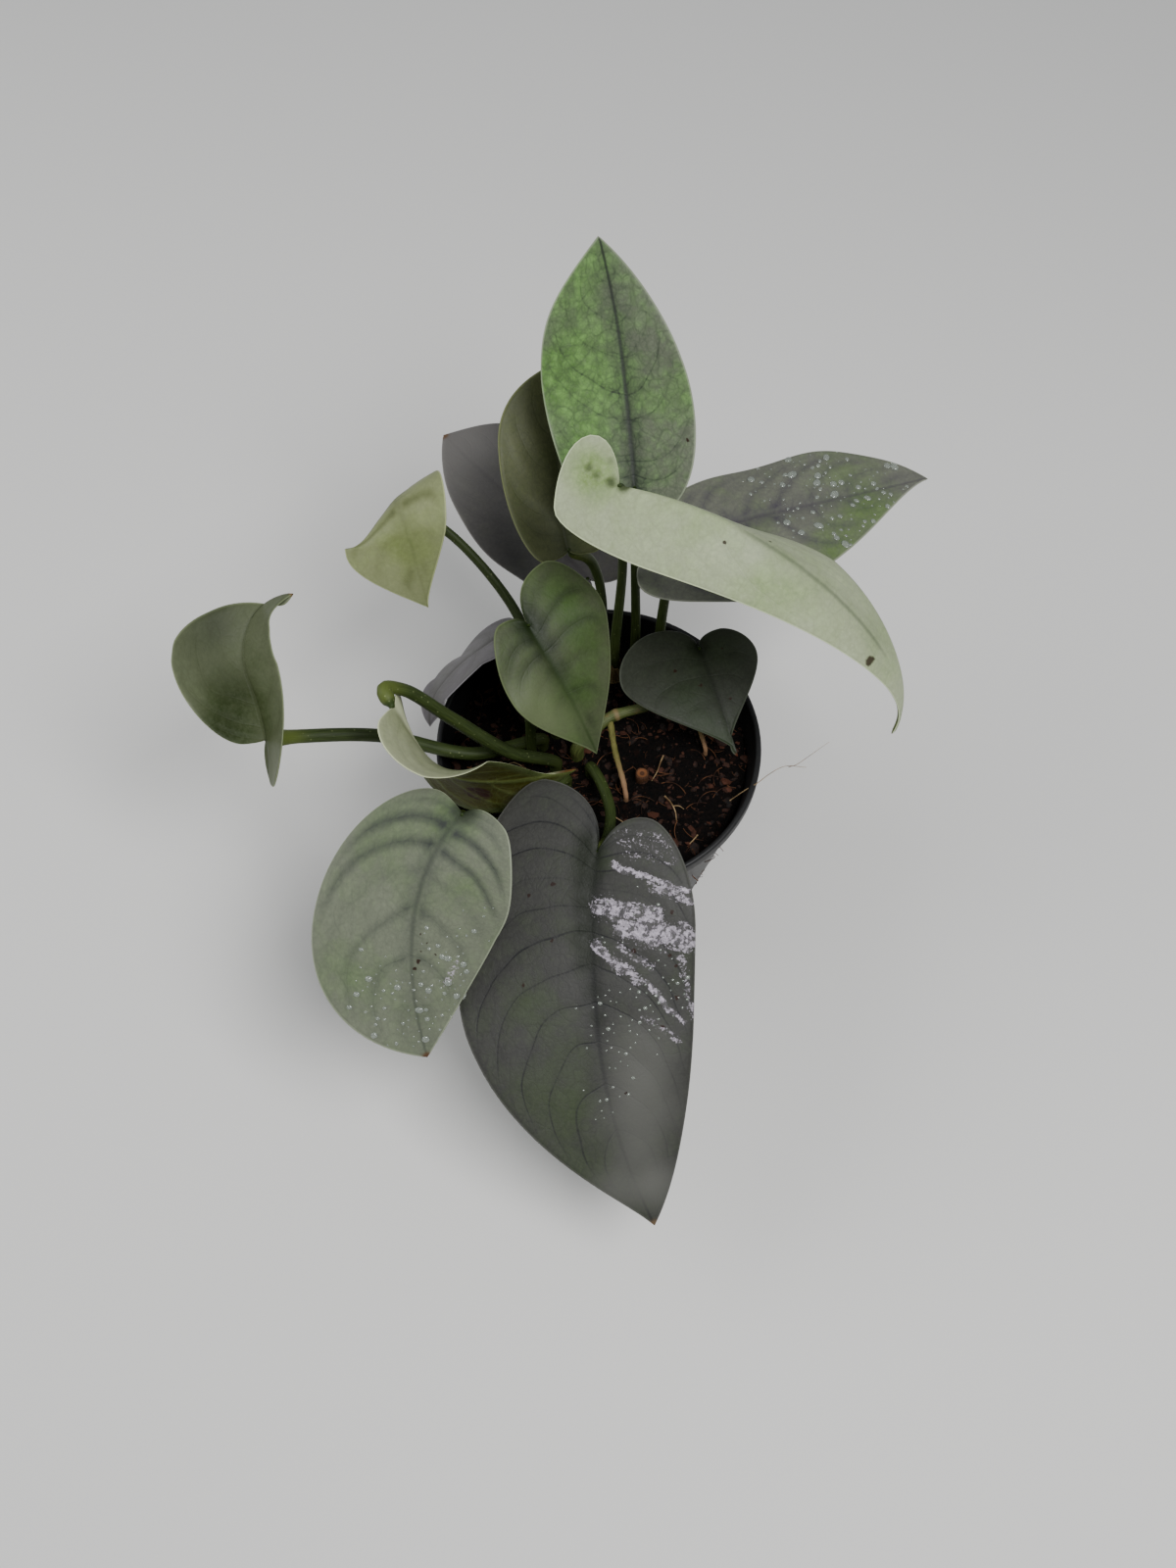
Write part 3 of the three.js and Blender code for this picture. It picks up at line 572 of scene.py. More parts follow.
def blade_piece(number):
    """One leaf blade: silver upper skin, green back with a raised midrib, and a thin round margin."""
    finish = finish_of(number)
    left, right = (leaf_half(LEAVES[number], sign, finish["veins"]) for sign in (1, -1))
    surface, normal = (np.concatenate([b[:, :0:-1], a], 1) for a, b in zip(left[:2], right[:2]))
    marks = {key: np.concatenate([right[2][key][:, :0:-1], left[2][key]], 1) for key in left[2]}
    rib, margin, s = marks["reach"][..., 0] * CM, marks["reach"][..., 1] * CM, marks["reach"][..., 2]
    thick = MARGIN_THICKNESS + (MIDRIB_THICKNESS - MARGIN_THICKNESS) * np.exp(-(rib / RIB_REACH) ** 2)
    thick = thick * (0.35 + 0.65 * smooth(0, 1.2, margin))
    taper = np.clip(1 - s, 0, 1) ** 0.7
    channel = (0.45 * np.exp(-(rib / 1.1) ** 2) + 0.3 * np.exp(-(rib / 3.4) ** 2)) * taper * smooth(0, 3, margin)
    channel = channel * finish["channel"]
    ridge = RIDGE * taper * np.exp(-(rib / 1.3) ** 2) * smooth(0, 3, margin)
    top = surface + normal * (thick / 2 - channel)[..., None]
    bottom = surface - normal * (thick / 2 + ridge)[..., None]
    rows, columns = surface.shape[:2]
    count = rows * columns
    faces = grid_faces(rows, columns) + grid_faces(rows, columns, count, flip=True)
    kinds = [0] * (len(faces) // 2) + [1] * (len(faces) // 2)

    ring = [i * columns + columns - 1 for i in range(rows)] + [i * columns for i in range(rows - 2, 0, -1)]
    edge = surface.reshape(-1, 3)[ring]
    inner = [k - 1 if k % columns else k + 1 for k in ring]
    outward = edge - surface.reshape(-1, 3)[inner]
    outward /= np.maximum(np.linalg.norm(outward, axis=1, keepdims=True), 1e-6)
    rim = edge + outward * MARGIN_ROUND
    for k, point in enumerate(ring):
        a, b = 2 * count + k, 2 * count + (k + 1) % len(ring)
        c, d = point, ring[(k + 1) % len(ring)]
        faces += [[c, d, b, a], [a, b, d + count, c + count]]
        kinds += [0, 1]
    points = np.vstack([top.reshape(-1, 3), bottom.reshape(-1, 3), rim])
    spread = {key: np.vstack([m.reshape(-1, 3), m.reshape(-1, 3), m.reshape(-1, 3)[ring]])
              for key, m in marks.items()}
    finishes = [leaf_skin(number), leaf_back(number)]
    piece = mesh_piece(f"leaf_{number:02d}", points, faces, finishes, spread, kinds)
    wetness = np.zeros(len(piece.data.vertices))
    at = np.zeros(len(wetness) * 3)
    piece.data.attributes["flat"].data.foreach_get("vector", at)
    for x, y, reach, strength in finish.get("dew", []):
        away = np.hypot(at[0::3] * DM - x, at[1::3] * DM - y)
        wetness = np.maximum(wetness, strength * (1 - smooth(0.4 * reach, reach, away)))
    piece.data.attributes.new("dew", "FLOAT", "POINT").data.foreach_set("value", wetness)
    return piece


# Node building


class Wire:
    """A node's value. Sums, products and powers of wires add the nodes that work them out."""

    def __init__(self, maker, socket):
        self.maker = maker
        self.socket = socket

    def __add__(self, other):
        return self.maker.maths("ADD", self, other)

    def __radd__(self, other):
        return self.maker.maths("ADD", other, self)

    def __sub__(self, other):
        return self.maker.maths("SUBTRACT", self, other)

    def __rsub__(self, other):
        return self.maker.maths("SUBTRACT", other, self)

    def __mul__(self, other):
        return self.maker.maths("MULTIPLY", self, other)

    def __rmul__(self, other):
        return self.maker.maths("MULTIPLY", other, self)

    def __truediv__(self, other):
        return self.maker.maths("DIVIDE", self, other)

    def __rtruediv__(self, other):
        return self.maker.maths("DIVIDE", other, self)

    def __pow__(self, other):
        return self.maker.maths("POWER", self, other)


class Maker:
    """Adds nodes to a tree by plain calls."""

    def __init__(self, tree):
        self.tree = tree

    def join(self, value, socket):
        """Wires a value to a socket, or sets the socket where it is a plain one."""
        if isinstance(value, Wire):
            self.tree.links.new(value.socket, socket)
        else:
            socket.default_value = value

    def node(self, kind, settings=None, inputs=None, output=0):
        """Adds any node: its settings first, then the values or wires of its sockets."""
        made = self.tree.nodes.new(kind)
        for key, value in (settings or {}).items():
            setattr(made, key, value)
        for key, value in (inputs or {}).items():
            self.join(value, made.inputs[key])
        return Wire(self, made.outputs[output])

    def maths(self, operation, *values):
        return self.node("ShaderNodeMath", {"operation": operation}, dict(enumerate(values)))

    def vector_maths(self, operation, *values, output=0):
        return self.node("ShaderNodeVectorMath", {"operation": operation}, dict(enumerate(values)), output)

    def scaled(self, vector, size):
        return self.node("ShaderNodeVectorMath", {"operation": "SCALE"}, {0: vector, "Scale": size})

    def parts(self, vector):
        made = self.node("ShaderNodeSeparateXYZ", None, {0: vector})
        return [Wire(self, made.socket.node.outputs[k]) for k in range(3)]

    def joined(self, x, y, z=0.0):
        return self.node("ShaderNodeCombineXYZ", None, {0: x, 1: y, 2: z})

    def noise(self, at, scale, detail=3.0, roughness=0.5, output=0):
        sockets = {"Vector": at, "Scale": scale, "Detail": detail, "Roughness": roughness}
        return self.node("ShaderNodeTexNoise", None, sockets, output)


class Paint(Maker):
    """One finish."""

    def __init__(self, name, **constants):
        self.material = bpy.data.materials.new(name)
        self.material.use_nodes = True
        super().__init__(self.material.node_tree)
        self.shader = self.tree.nodes["Principled BSDF"]
        for socket, value in constants.items():
            self.shader.inputs[socket.replace("_", " ")].default_value = value

    def step(self, value, low, high):
        """A soft step from 0 at low to 1 at high."""
        sockets = {"Value": value, "From Min": low, "From Max": high}
        return self.node("ShaderNodeMapRange", {"interpolation_type": "SMOOTHSTEP"}, sockets)

    def mix(self, share, a, b):
        """The share of colour b over colour a. A tuple is a colour of the screen."""
        a, b = (linear(colour) if isinstance(colour, tuple) else colour for colour in (a, b))
        return self.node("ShaderNodeMix", {"data_type": "RGBA"}, {0: share, 6: a, 7: b}, 2)

    def cells(self, at, scale, feature="F1"):
        """How far a point lies from the middle of its cell, or from the edge."""
        return self.node("ShaderNodeTexVoronoi", {"feature": feature}, {"Vector": at, "Scale": scale})

    def mark(self, name):
        """A named vector of the mesh's points."""
        return self.node("ShaderNodeAttribute", {"attribute_name": name}, output=1)

    def place(self):
        """The point's place on the object, in metres."""
        return self.node("ShaderNodeTexCoord", output=3)

    def streaks(self, run, turn, along_run, along_turn, detail=3.0):
        """Noise drawn out along a stalk, with its fineness along the run and around."""
        return self.noise(self.joined(run * along_run, turn * along_turn), 3.0, detail)

    def bump(self, height, distance, strength):
        return self.node("ShaderNodeBump", None, {"Height": height, "Distance": distance, "Strength": strength})

    def finish(self, **sockets):
        """Joins the finished values to the surface and gives the material back."""
        for socket, value in sockets.items():
            self.join(value, self.shader.inputs[socket.replace("_", " ")])
        return self.material


class Weave(Maker):
    """A tree of geometry nodes with named inputs. The first input is the piece it grows on."""

    LEAST_UPRIGHT = 0.4
    KINDS = {float: "NodeSocketFloat", int: "NodeSocketInt", bpy.types.Material: "NodeSocketMaterial"}

    def __init__(self, name, inputs):
        super().__init__(bpy.data.node_groups.new(name, "GeometryNodeTree"))
        self.values = inputs
        self.tree.interface.new_socket("Geometry", in_out="OUTPUT", socket_type="NodeSocketGeometry")
        self.tree.interface.new_socket("Base", in_out="INPUT", socket_type="NodeSocketGeometry")
        self.keys = {}
        for label, value in inputs.items():
            kind = next(socket for sort, socket in self.KINDS.items() if isinstance(value, sort))
            made = self.tree.interface.new_socket(label, in_out="INPUT", socket_type=kind)
            self.keys[label] = made.identifier
        self.entry = self.tree.nodes.new("NodeGroupInput")

    def given(self, label):
        """An input of the tree."""
        return Wire(self, self.entry.outputs[label])

    def chance(self, low, high, seed):
        """A random number for each point, or a random vector where low and high are vectors."""
        vector = isinstance(low, tuple)
        first, kind = (0, "FLOAT_VECTOR") if vector else (2, "FLOAT")
        return self.node("FunctionNodeRandomValue", {"data_type": kind},
                         {first: low, first + 1: high, "Seed": seed}, 0 if vector else 1)

    def between(self, low, high, share):
        """A size between two of the inputs."""
        return self.given(low) + share * (self.given(high) - self.given(low))

    def strewn(self):
        """Points strewn where the base piece looks up. The test is made at the corners of its faces, so the side
        below a top edge gets points too."""
        upright = self.parts(self.node("GeometryNodeInputNormal"))[2]
        above = self.node("FunctionNodeCompare", {"data_type": "FLOAT", "operation": "GREATER_THAN"},
                          {0: upright, 1: self.LEAST_UPRIGHT})
        return self.node("GeometryNodeDistributePointsOnFaces", None, {
            "Mesh": self.given("Base"), "Selection": above, "Density": self.given("Per square metre"),
            "Seed": self.given("Seed"),
        })

    def turned(self, limits, seed):
        """A random turn within limits each way, in radians."""
        spin = self.chance(tuple(-angle for angle in limits), limits, seed)
        return self.node("FunctionNodeEulerToRotation", None, {0: spin})

    def laid(self, points, shape, rotation, size):
        """Copies of a shape on points."""
        return self.node("GeometryNodeInstanceOnPoints", None, {
            "Points": points, "Instance": shape, "Rotation": rotation, "Scale": size,
        })

    def close(self, shape, soft=True):
        """Ends the tree: copies made real, shaded and given their finish."""
        real = self.node("GeometryNodeRealizeInstances", None, {0: shape})
        shaded = self.node("GeometryNodeSetShadeSmooth", None, {0: real, "Shade Smooth": soft})
        done = self.node("GeometryNodeSetMaterial", None, {0: shaded, "Material": self.given("Finish")})
        out = self.tree.nodes.new("NodeGroupOutput")
        self.join(done, out.inputs[0])

    def grow(self, name, base):
        """The plain mesh that the tree makes on a base piece."""
        piece = placed(name, base.data)
        grower = piece.modifiers.new("grow", "NODES")
        grower.node_group = self.tree
        for label, value in self.values.items():
            grower[self.keys[label]] = value
        return applied(piece, name)


# Leaf finishes


def finish_of(number):
    return {**USUAL, **FINISHES[number]}


def side_veins(paint, count):
    """How far a point lies from the nearest side vein, in millimetres, and that vein's own strength."""
    phase, _, spacing = paint.parts(paint.mark("veins"))
    wander = paint.noise(paint.mark("flat"), 5.0, 1.0)
    place = (phase + (wander - 0.5) * (0.55 / count)) * count + 0.5
    away = paint.maths("ABSOLUTE", paint.maths("FRACT", place) - 0.5) * spacing * (DM / count)
    which = paint.maths("FLOOR", place)
    own = paint.node("ShaderNodeTexWhiteNoise", {"noise_dimensions": "1D"}, {"W": which})
    return away, own * 0.7 + 0.3


def spots(paint, flat, places, soft=0.5):
    """1 on the listed places of the flat leaf and 0 away from them."""
    total = 0.0
    for x, y, reach, *strength in places:
        away = paint.vector_maths("DISTANCE", flat, (x / DM, y / DM, 0.0), output=1) * DM
        total = (1 - paint.step(away, reach * soft, reach)) * (strength[0] if strength else 1.0) + total
    return paint.maths("MINIMUM", total, 1.0)


def frayed(paint, flat, by, *grain):
    """Places on the flat leaf moved by noise, so that what is drawn on them gets ragged edges."""
    drift = paint.noise(flat, *grain, output=1)
    return paint.vector_maths("ADD", flat, paint.vector_maths("MULTIPLY", drift, (by, by, 0.0)))


def ragged_spots(paint, flat, places, by, grain, soft):
    """Spots with ragged edges. Their places are moved by the mean of the noise, which keeps them where they are."""
    moved = [(x + by * DM / 2, y + by * DM / 2, *rest) for x, y, *rest in places]
    return spots(paint, frayed(paint, flat, by, *grain), moved, soft)


def limited(paint, value):
    """A value kept from 0 to 1."""
    return paint.maths("MINIMUM", paint.maths("MAXIMUM", value, 0.0), 1.0)


def leaf_skin(number):
    """Satin silver skin over green: a fine net, soft grey bands along the veins, a dark midrib groove partly in
    painted shade.
    """
    finish = finish_of(number)
    silver, green_skin, grey = finish["silver"], finish["green"], finish["vein"]
    paint = Paint(f"leaf_skin_{number:02d}", Specular_IOR_Level=0.14)
    flat = paint.mark("flat")
    rib, margin, s = paint.parts(paint.mark("reach"))
    rib, margin = rib * CM, margin * CM
    broad = paint.noise(flat, 5.0, 4.0, 0.6)
    patchy = paint.noise(flat, 16.0, 4.0, 0.6)
    fine = paint.noise(flat, 70.0, 5.0, 0.65)
    bent = frayed(paint, flat, 0.03, 22.0)
    net = 1 - paint.step(paint.cells(bent, 20.0, "DISTANCE_TO_EDGE"), 0.0, 0.12)
    mesh = 1 - paint.step(paint.cells(bent, 58.0, "DISTANCE_TO_EDGE"), 0.0, 0.2)
    uneven = limited(paint, patchy * 2.2 - 0.35)

    # Silver, green patches and clouds
    green = spots(paint, flat, finish["patches"], 0.0) if "patches" in finish else 0.0
    green = green + (broad - 0.48) * 1.5 + (patchy - 0.5) * 1.1 + (fine - 0.5) * 0.5
    colour = paint.mix(limited(paint, green), silver, green_skin)
    for grain, level, gain, share, tone in (
            (fine, 0.4, 1.8, 0.4, lighter(silver, 1.32)),
            (patchy, 0.5, 3.0, 0.35, lighter(silver, 1.3)),
            (patchy, 0.46, -3.0, 0.3, lighter(grey, 1.1))):
        colour = paint.mix(limited(paint, (grain - level) * gain) * share, colour, tone)
    if "glow" in finish:
        lit = (1 - paint.step(paint.cells(bent, 30.0), 0.1, 0.75)) * limited(paint, green) * finish["glow"]
        colour = paint.mix(lit, colour, lighter(green_skin, 1.45))

    # Side veins, net and midrib
    away, own = side_veins(paint, finish["veins"])
    out = paint.step(rib, 0.6, 3.0)
    fade = paint.step(margin, 0.5, 7.0)
    band = (1 - paint.step(away, 0.0, 3.2)) * fade * out * own * (1 - s * finish["faint"])
    line = (1 - paint.step(away, 0.0, 0.5)) * fade * own * uneven
    veined = band * finish["bands"] * 0.6 + line * finish["lines"] \
        + net * uneven * (0.3 * finish["net"]) + mesh * (0.2 * finish["net"])
    groove = finish["groove"]
    if "ribbed" in finish:
        near, far = finish["ribbed"]
        length = paint.parts(flat)[0] * DM
        groove = paint.step(length, near, near + 14) * (1 - paint.step(length, far - 14, far)) * groove
    # The midrib band is darker in its own colour and, deepened, in painted shade of its groove.
    halo = (1 - paint.step(rib, 0.3, 7.5)) * (1 - s * 0.7) * (patchy * 0.8 + 0.3) * groove
    colour = paint.mix(limited(paint, veined + halo * 0.75), colour, grey)
    core = 1 - paint.step(rib, 0.1, 2.0 - s * 1.3)
    colour = paint.mix(core * groove * finish["core"], colour, finish["rib"])

    # Margin, painted light and painted shade, stains and the dry tip
    border = 1 - paint.step(margin, 0.1, 0.6)
    colour = paint.mix(border * 0.55, colour, lighter(silver, 1.55))
    # Pale places: painted light on lit parts and highlights of the blade.
    if "pale" in finish:
        colour = paint.mix(spots(paint, flat, finish["pale"], 0.1), colour, lighter(silver, 1.5))
    # Shade places: painted shade in the notch, in folds and along the midrib groove.
    if "shade" in finish:
        dim = ragged_spots(paint, flat, finish["shade"], 0.03, (20.0, 4.0, 0.6), 0.1)
        colour = paint.mix(dim * 0.9, colour, lighter(green_skin, 0.45))
    if "stains" in finish:
        stained = ragged_spots(paint, flat, finish["stains"], 0.02, (60.0,), 0.5)
        colour = paint.mix(stained * 0.9, colour, STAIN)
    if "burnt" in finish:
        near_tip = spots(paint, flat, [(LEAVES[number]["length"], 0, finish["burnt"] * 1.6)], 0.2)
        colour = paint.mix(limited(paint, near_tip * 1.3 + (patchy - 0.5)) * near_tip, colour, finish["burn"])

    # Relief, gloss and the wet film, whose pale colour is a painted reflection of the lamp
    height = fine * 0.25 + mesh * -0.08 + net * uneven * -0.12 + line * -0.4 + band * -finish["relief"]
    gloss = 0.44 + (fine - 0.5) * 0.2 + (patchy - 0.5) * 0.16
    if "gleam" in finish:
        gloss = gloss - spots(paint, flat, finish["gleam"], 0.2) * 0.16
    if "films" in finish:
        film, thick = wet_film(paint, flat, finish["films"])
        # The film's pale colour is a painted reflection of the lamp on the water.
        colour = paint.mix(film * (0.42 + thick * 0.5), colour, FILM_PAINTED_REFLECTION)
        gloss = gloss * (1 - film) + film * 0.14
        height = height * (1 - film * 0.6) + thick * 1.5
    return paint.finish(Base_Color=colour, Roughness=gloss, Normal=paint.bump(height, 0.00022, 0.6))


def lighter(colour, by):
    return tuple(min(255, c * by) for c in colour)


def wet_film(paint, flat, streaks):
    """A film of water drawn out into ragged streaks: where it lies, and how thick it stands."""
    drift = 0.05
    along_run = paint.vector_maths("DOT_PRODUCT", flat, (0.29, 0.96, 0.0), output=1)
    across = paint.vector_maths("DOT_PRODUCT", flat, (0.96, -0.29, 0.0), output=1)
    fray = paint.noise(paint.joined(along_run * 20, across * 46), 1.0, 5.0, 0.62)
    fleck = paint.noise(flat, 120.0, 3.0, 0.6)
    here = frayed(paint, flat, drift, 18.0, 4.0, 0.6)
    level = 0.0
    for x0, y0, x1, y1, half, strength in streaks:
        start = (x0 / DM + drift / 2, y0 / DM + drift / 2, 0.0)
        run = ((x1 - x0) / DM, (y1 - y0) / DM, 0.0)
        offset = paint.vector_maths("SUBTRACT", here, start)
        share = limited(paint, paint.vector_maths("DOT_PRODUCT", offset, run, output=1)
                        / (run[0] ** 2 + run[1] ** 2))
        away = paint.vector_maths("DISTANCE", offset, paint.scaled(run, share), output=1) * DM
        level = paint.maths("MAXIMUM", level, (1 - paint.step(away, half * 0.3, half * 1.8)) * strength)
    held = level + (fray - 0.5) * 2.3 + (fleck - 0.5) * 1.7
    film = paint.step(held, 0.5, 0.62) * paint.step(level, 0.05, 0.3)
    broken = paint.step(paint.noise(flat, 34.0, 6.0, 0.74), 0.46, 0.51)
    strays = paint.step(fleck, 0.6, 0.68) * paint.step(level, 0.02, 0.3) * 0.7
    film = paint.maths("MAXIMUM", film * (0.16 + broken * 0.84), strays)
    return film, film * (0.3 + paint.step(held, 0.6, 1.2) * 0.7)


def leaf_back(number):
    """Duller green underside with raised veins."""
    finish = finish_of(number)
    paint = Paint(f"leaf_back_{number:02d}", Specular_IOR_Level=0.15)
    flat = paint.mark("flat")
    rib, margin, _ = paint.parts(paint.mark("reach"))
    rib, margin = rib * CM, margin * CM
    broad = paint.noise(flat, 8.0, 4.0, 0.6)
    fine = paint.noise(flat, 80.0, 4.0, 0.6)
    fade = paint.step(margin, 0.5, 7.0)
    away, _ = side_veins(paint, finish["veins"])
    soft_vein = (1 - paint.step(away, 0.0, 1.6)) * fade
    net = 1 - paint.step(paint.cells(flat, 26.0, "DISTANCE_TO_EDGE"), 0.0, 0.1)
    shade = limited(paint, 0.5 + (broad - 0.5) * 1.4 + (fine - 0.5) * 0.5)
    colour = paint.mix(shade, BACK["green"], BACK["silver"])
    if "ochre" in finish:
        colour = paint.mix(paint.step(margin, 0.5, 5.0) * finish["ochre"], colour, OCHRE)
        colour = paint.mix(spots(paint, flat, finish["bruises"], 0.75), colour, BRUISE)
    colour = paint.mix(limited(paint, soft_vein * 0.4 + net * 0.2), colour, BACK["rib"])
    core = 1 - paint.step(rib, 0.4, 2.2)
    colour = paint.mix(core * 0.8, colour, BACK["rib"])
    height = soft_vein * 0.8 + core * 0.5 + net * 0.3 + fine * 0.3
    return paint.finish(Base_Color=colour, Roughness=0.5 + (fine - 0.5) * 0.2,
                        Normal=paint.bump(height, 0.0003, 0.6))


def water_finish():
    """Water drops, part clear, part a pale grey-green body: a painted reflection of the lamp, tinted with the
    leaf's green.
    """
    return Paint("water", Base_Color=(0.6, 0.66, 0.58, 1), Roughness=0.04, IOR=1.36, Transmission_Weight=0.7,
                 Coat_Weight=1.0, Coat_Roughness=0.03).material


def dew_piece(number, blade, water):
    """Drops of water of many sizes lying on the upper skin where the leaf was wetted."""
    drops = Weave(f"dew_{number:02d}", {
        "Per square metre": DEW_PER_CM2 * 1e4, "Apart": DROPS_APART * MM, "Smallest": SMALLEST_DROP * MM,
        "Largest": finish_of(number)["drop"] * MM, "Seed": SEED + number, "Finish": water,
    })
    wetness = drops.node("GeometryNodeInputNamedAttribute", {"data_type": "FLOAT"}, {"Name": "dew"})
    skin = drops.node("GeometryNodeInputMaterialIndex")
    upper = drops.node("FunctionNodeCompare", {"data_type": "INT", "operation": "EQUAL"}, {2: skin, 3: 0})
    spread = drops.node("GeometryNodeDistributePointsOnFaces", {"distribute_method": "POISSON"}, {
        "Mesh": drops.given("Base"), "Selection": upper, "Distance Min": drops.given("Apart"),
        "Density Max": drops.given("Per square metre"), "Density Factor": wetness, "Seed": drops.given("Seed"),
    })
    facing = Wire(drops, spread.socket.node.outputs["Rotation"])
    ball = drops.node("GeometryNodeMeshIcoSphere", None, {"Radius": 1.0, "Subdivisions": 2})
    place = drops.node("GeometryNodeInputPosition")
    x, y, z = drops.parts(place)
    low = drops.maths("MAXIMUM", z, -0.25) * 0.45
    dome = drops.node("GeometryNodeSetPosition", None, {"Geometry": ball, "Position": drops.joined(x, y, low)})
    dice = drops.chance(0.0, 1.0, drops.given("Seed"))
    stretch = drops.chance((0.9, 0.9, 0.85), (1.3, 1.0, 1.0), SEED)
    size = drops.scaled(stretch, drops.between("Smallest", "Largest", dice ** 4.0))
    drops.close(drops.laid(spread, dome, facing, size))
    return shown(drops.grow(f"dew_{number:02d}", blade), None)


# Stalks, stem and roots


def smooth_route(points, step=1.2):
    """Evenly spaced points on the soft curve through the given ones, and the length run at each."""
    p = np.array(points, float)
    p = np.vstack([2 * p[0] - p[1], p, 2 * p[-1] - p[-2]])
    runs = []
    for k in range(1, len(p) - 2):
        x0, x1, x2, x3 = p[k - 1:k + 3]
        d0, d1, d2 = (math.sqrt(max(np.linalg.norm(b - a), 1e-6)) for a, b in ((x0, x1), (x1, x2), (x2, x3)))
        m1 = ((x1 - x0) / d0 - (x2 - x0) / (d0 + d1) + (x2 - x1) / d1) * d1
        m2 = ((x2 - x1) / d1 - (x3 - x1) / (d1 + d2) + (x3 - x2) / d2) * d1
        t = np.linspace(0, 1, 60, endpoint=False)[:, None]
        runs.append(x1 + m1 * t + (-3 * x1 + 3 * x2 - 2 * m1 - m2) * t ** 2
                    + (2 * x1 - 2 * x2 + m1 + m2) * t ** 3)
    path = np.vstack([*runs, p[-2:-1]])
    run = run_along(path)
    count = max(6, int(round(run[-1] / step)))
    even = np.linspace(0, run[-1], count + 1)
    return np.stack([np.interp(even, run, path[:, k]) for k in range(3)], -1), even


def tube(name, route, radius, finish, sides=16, step=1.2, section=None):
    """A closed round stalk along a route. Radius gives its size from the share and the length run."""
    path, run = smooth_route(route, step)
    ahead = np.gradient(path, axis=0)
    ahead /= np.linalg.norm(ahead, axis=1, keepdims=True)
    side = np.cross(ahead[0], (0.3, 0.9, 0.1))
    sides_of = []
    for direction in ahead:
        side = side - direction * (side @ direction)
        side = side / np.linalg.norm(side)
        sides_of.append(side)
    side = np.array(sides_of)
    other = np.cross(ahead, side)
    turn = around(sides)
    size = radius(run / run[-1], run)[:, None] + 0 * turn
    if section is not None:
        size = size * section(turn[None, :], (run / run[-1])[:, None])
    rings = path[:, None] + (side[:, None] * np.cos(turn)[None, :, None]
                             + other[:, None] * np.sin(turn)[None, :, None]) * size[..., None]
    count = len(path)
    points = np.vstack([rings.reshape(-1, 3), path[:1] - ahead[:1] * 0.4 * size[0, 0],
                        path[-1:] + ahead[-1:] * 0.4 * size[-1, 0]])
    faces = grid_faces(count, sides, closed=True, flip=True)
    for j in range(sides):
        k = (j + 1) % sides
        faces.append([j, k, count * sides])
        faces.append([(count - 1) * sides + k, (count - 1) * sides + j, count * sides + 1])
    marks = np.stack([run[:, None] / DM + 0 * turn, turn[None, :] / (2 * math.pi) + 0 * size,
                      (run / run[-1])[:, None] + 0 * turn], -1).reshape(-1, 3)
    marks = np.vstack([marks, marks[:1], marks[-1:]])
    return mesh_piece(name, points, faces, [finish], {"stalk": marks})


def planted(foot, route, rise=5):
    """A route that starts at the bottom of its hole in the mix."""
    heights = [SOIL_LEVEL - HOLE_DEPTH + GAP, SOIL_LEVEL + 1, SOIL_LEVEL + rise]
    return [(*foot, z) for z in heights] + list(route)


def stalk_finish():
    """Satin green leaf stalk with pale streaks, yellower at the knee and darker at its very top in painted shade of
    the blade.
    """
    paint = Paint("leaf_stalk", Specular_IOR_Level=0.25)
    run, turn, share = paint.parts(paint.mark("stalk"))
    place = paint.place()
    streak = paint.streaks(run, turn, 4, 26)
    fine = paint.noise(place, 1500.0, 3.0)
    colour = paint.mix(paint.step(streak, 0.3, 0.75), (38, 48, 22), (68, 81, 42))
    knee = paint.step(share, 0.84, 0.93) * (1 - paint.step(share, 0.965, 0.99))
    colour = paint.mix(knee * 0.6, colour, (96, 108, 50))
    # Painted shade: the stalk's very top, under the blade, is darker.
    colour = paint.mix(paint.step(share, 0.97, 0.99) * 0.7, colour, (46, 62, 24))
    low = 1 - paint.step(share, 0.05, 0.35)
    colour = paint.mix(low * 0.5, colour, (58, 62, 34))
    speck = paint.step(paint.cells(place, 420.0), 0.06, 0.16)
    colour = paint.mix((1 - speck) * 0.4, colour, (150, 160, 110))
    height = streak * 0.5 + fine * 0.3
    return paint.finish(Base_Color=colour, Roughness=0.46 + fine * 0.15,
                        Normal=paint.bump(height, 0.0002, 0.5))


def petiole_piece(number, finish):
    leaf = LEAVES[number]
    start = planted(leaf["foot"], leaf["stalk"]) if "foot" in leaf else list(leaf["stalk"])
    radii = leaf["radius"]

    def radius(share, run):
        left = run[-1] - run
        knee = np.exp(-((left - 5.5) / 4.5) ** 2)
        return along(radii, share) * (0.95 + 0.15 * knee) * (0.35 + 0.65 * smooth(0, 3.2, left))

    def section(turn, share):
        groove = 0.12 * np.exp(-((turn - math.pi / 2) / 0.35) ** 2) * smooth(0.1, 0.3, share)
        return 1 - groove + 0.015 * np.sin(5 * turn + 9 * share)

    return tube(f"stalk_{number:02d}", start + [leaf["at"]], radius, finish, 18, section=section)


def stem_piece():
    """The creeping stem: rings of old leaf scars between short internodes."""
    def radius(share, run):
        rings = sum(np.exp(-((share - at) / 0.018) ** 2) for at in STEM_RINGS)
        return along(STEM["radius"], share) * (0.93 + 0.16 * rings)

    route = planted(STEM["foot"], STEM["route"])
    return tube("creeping_stem", route, radius, stem_finish(), 20, 0.8)


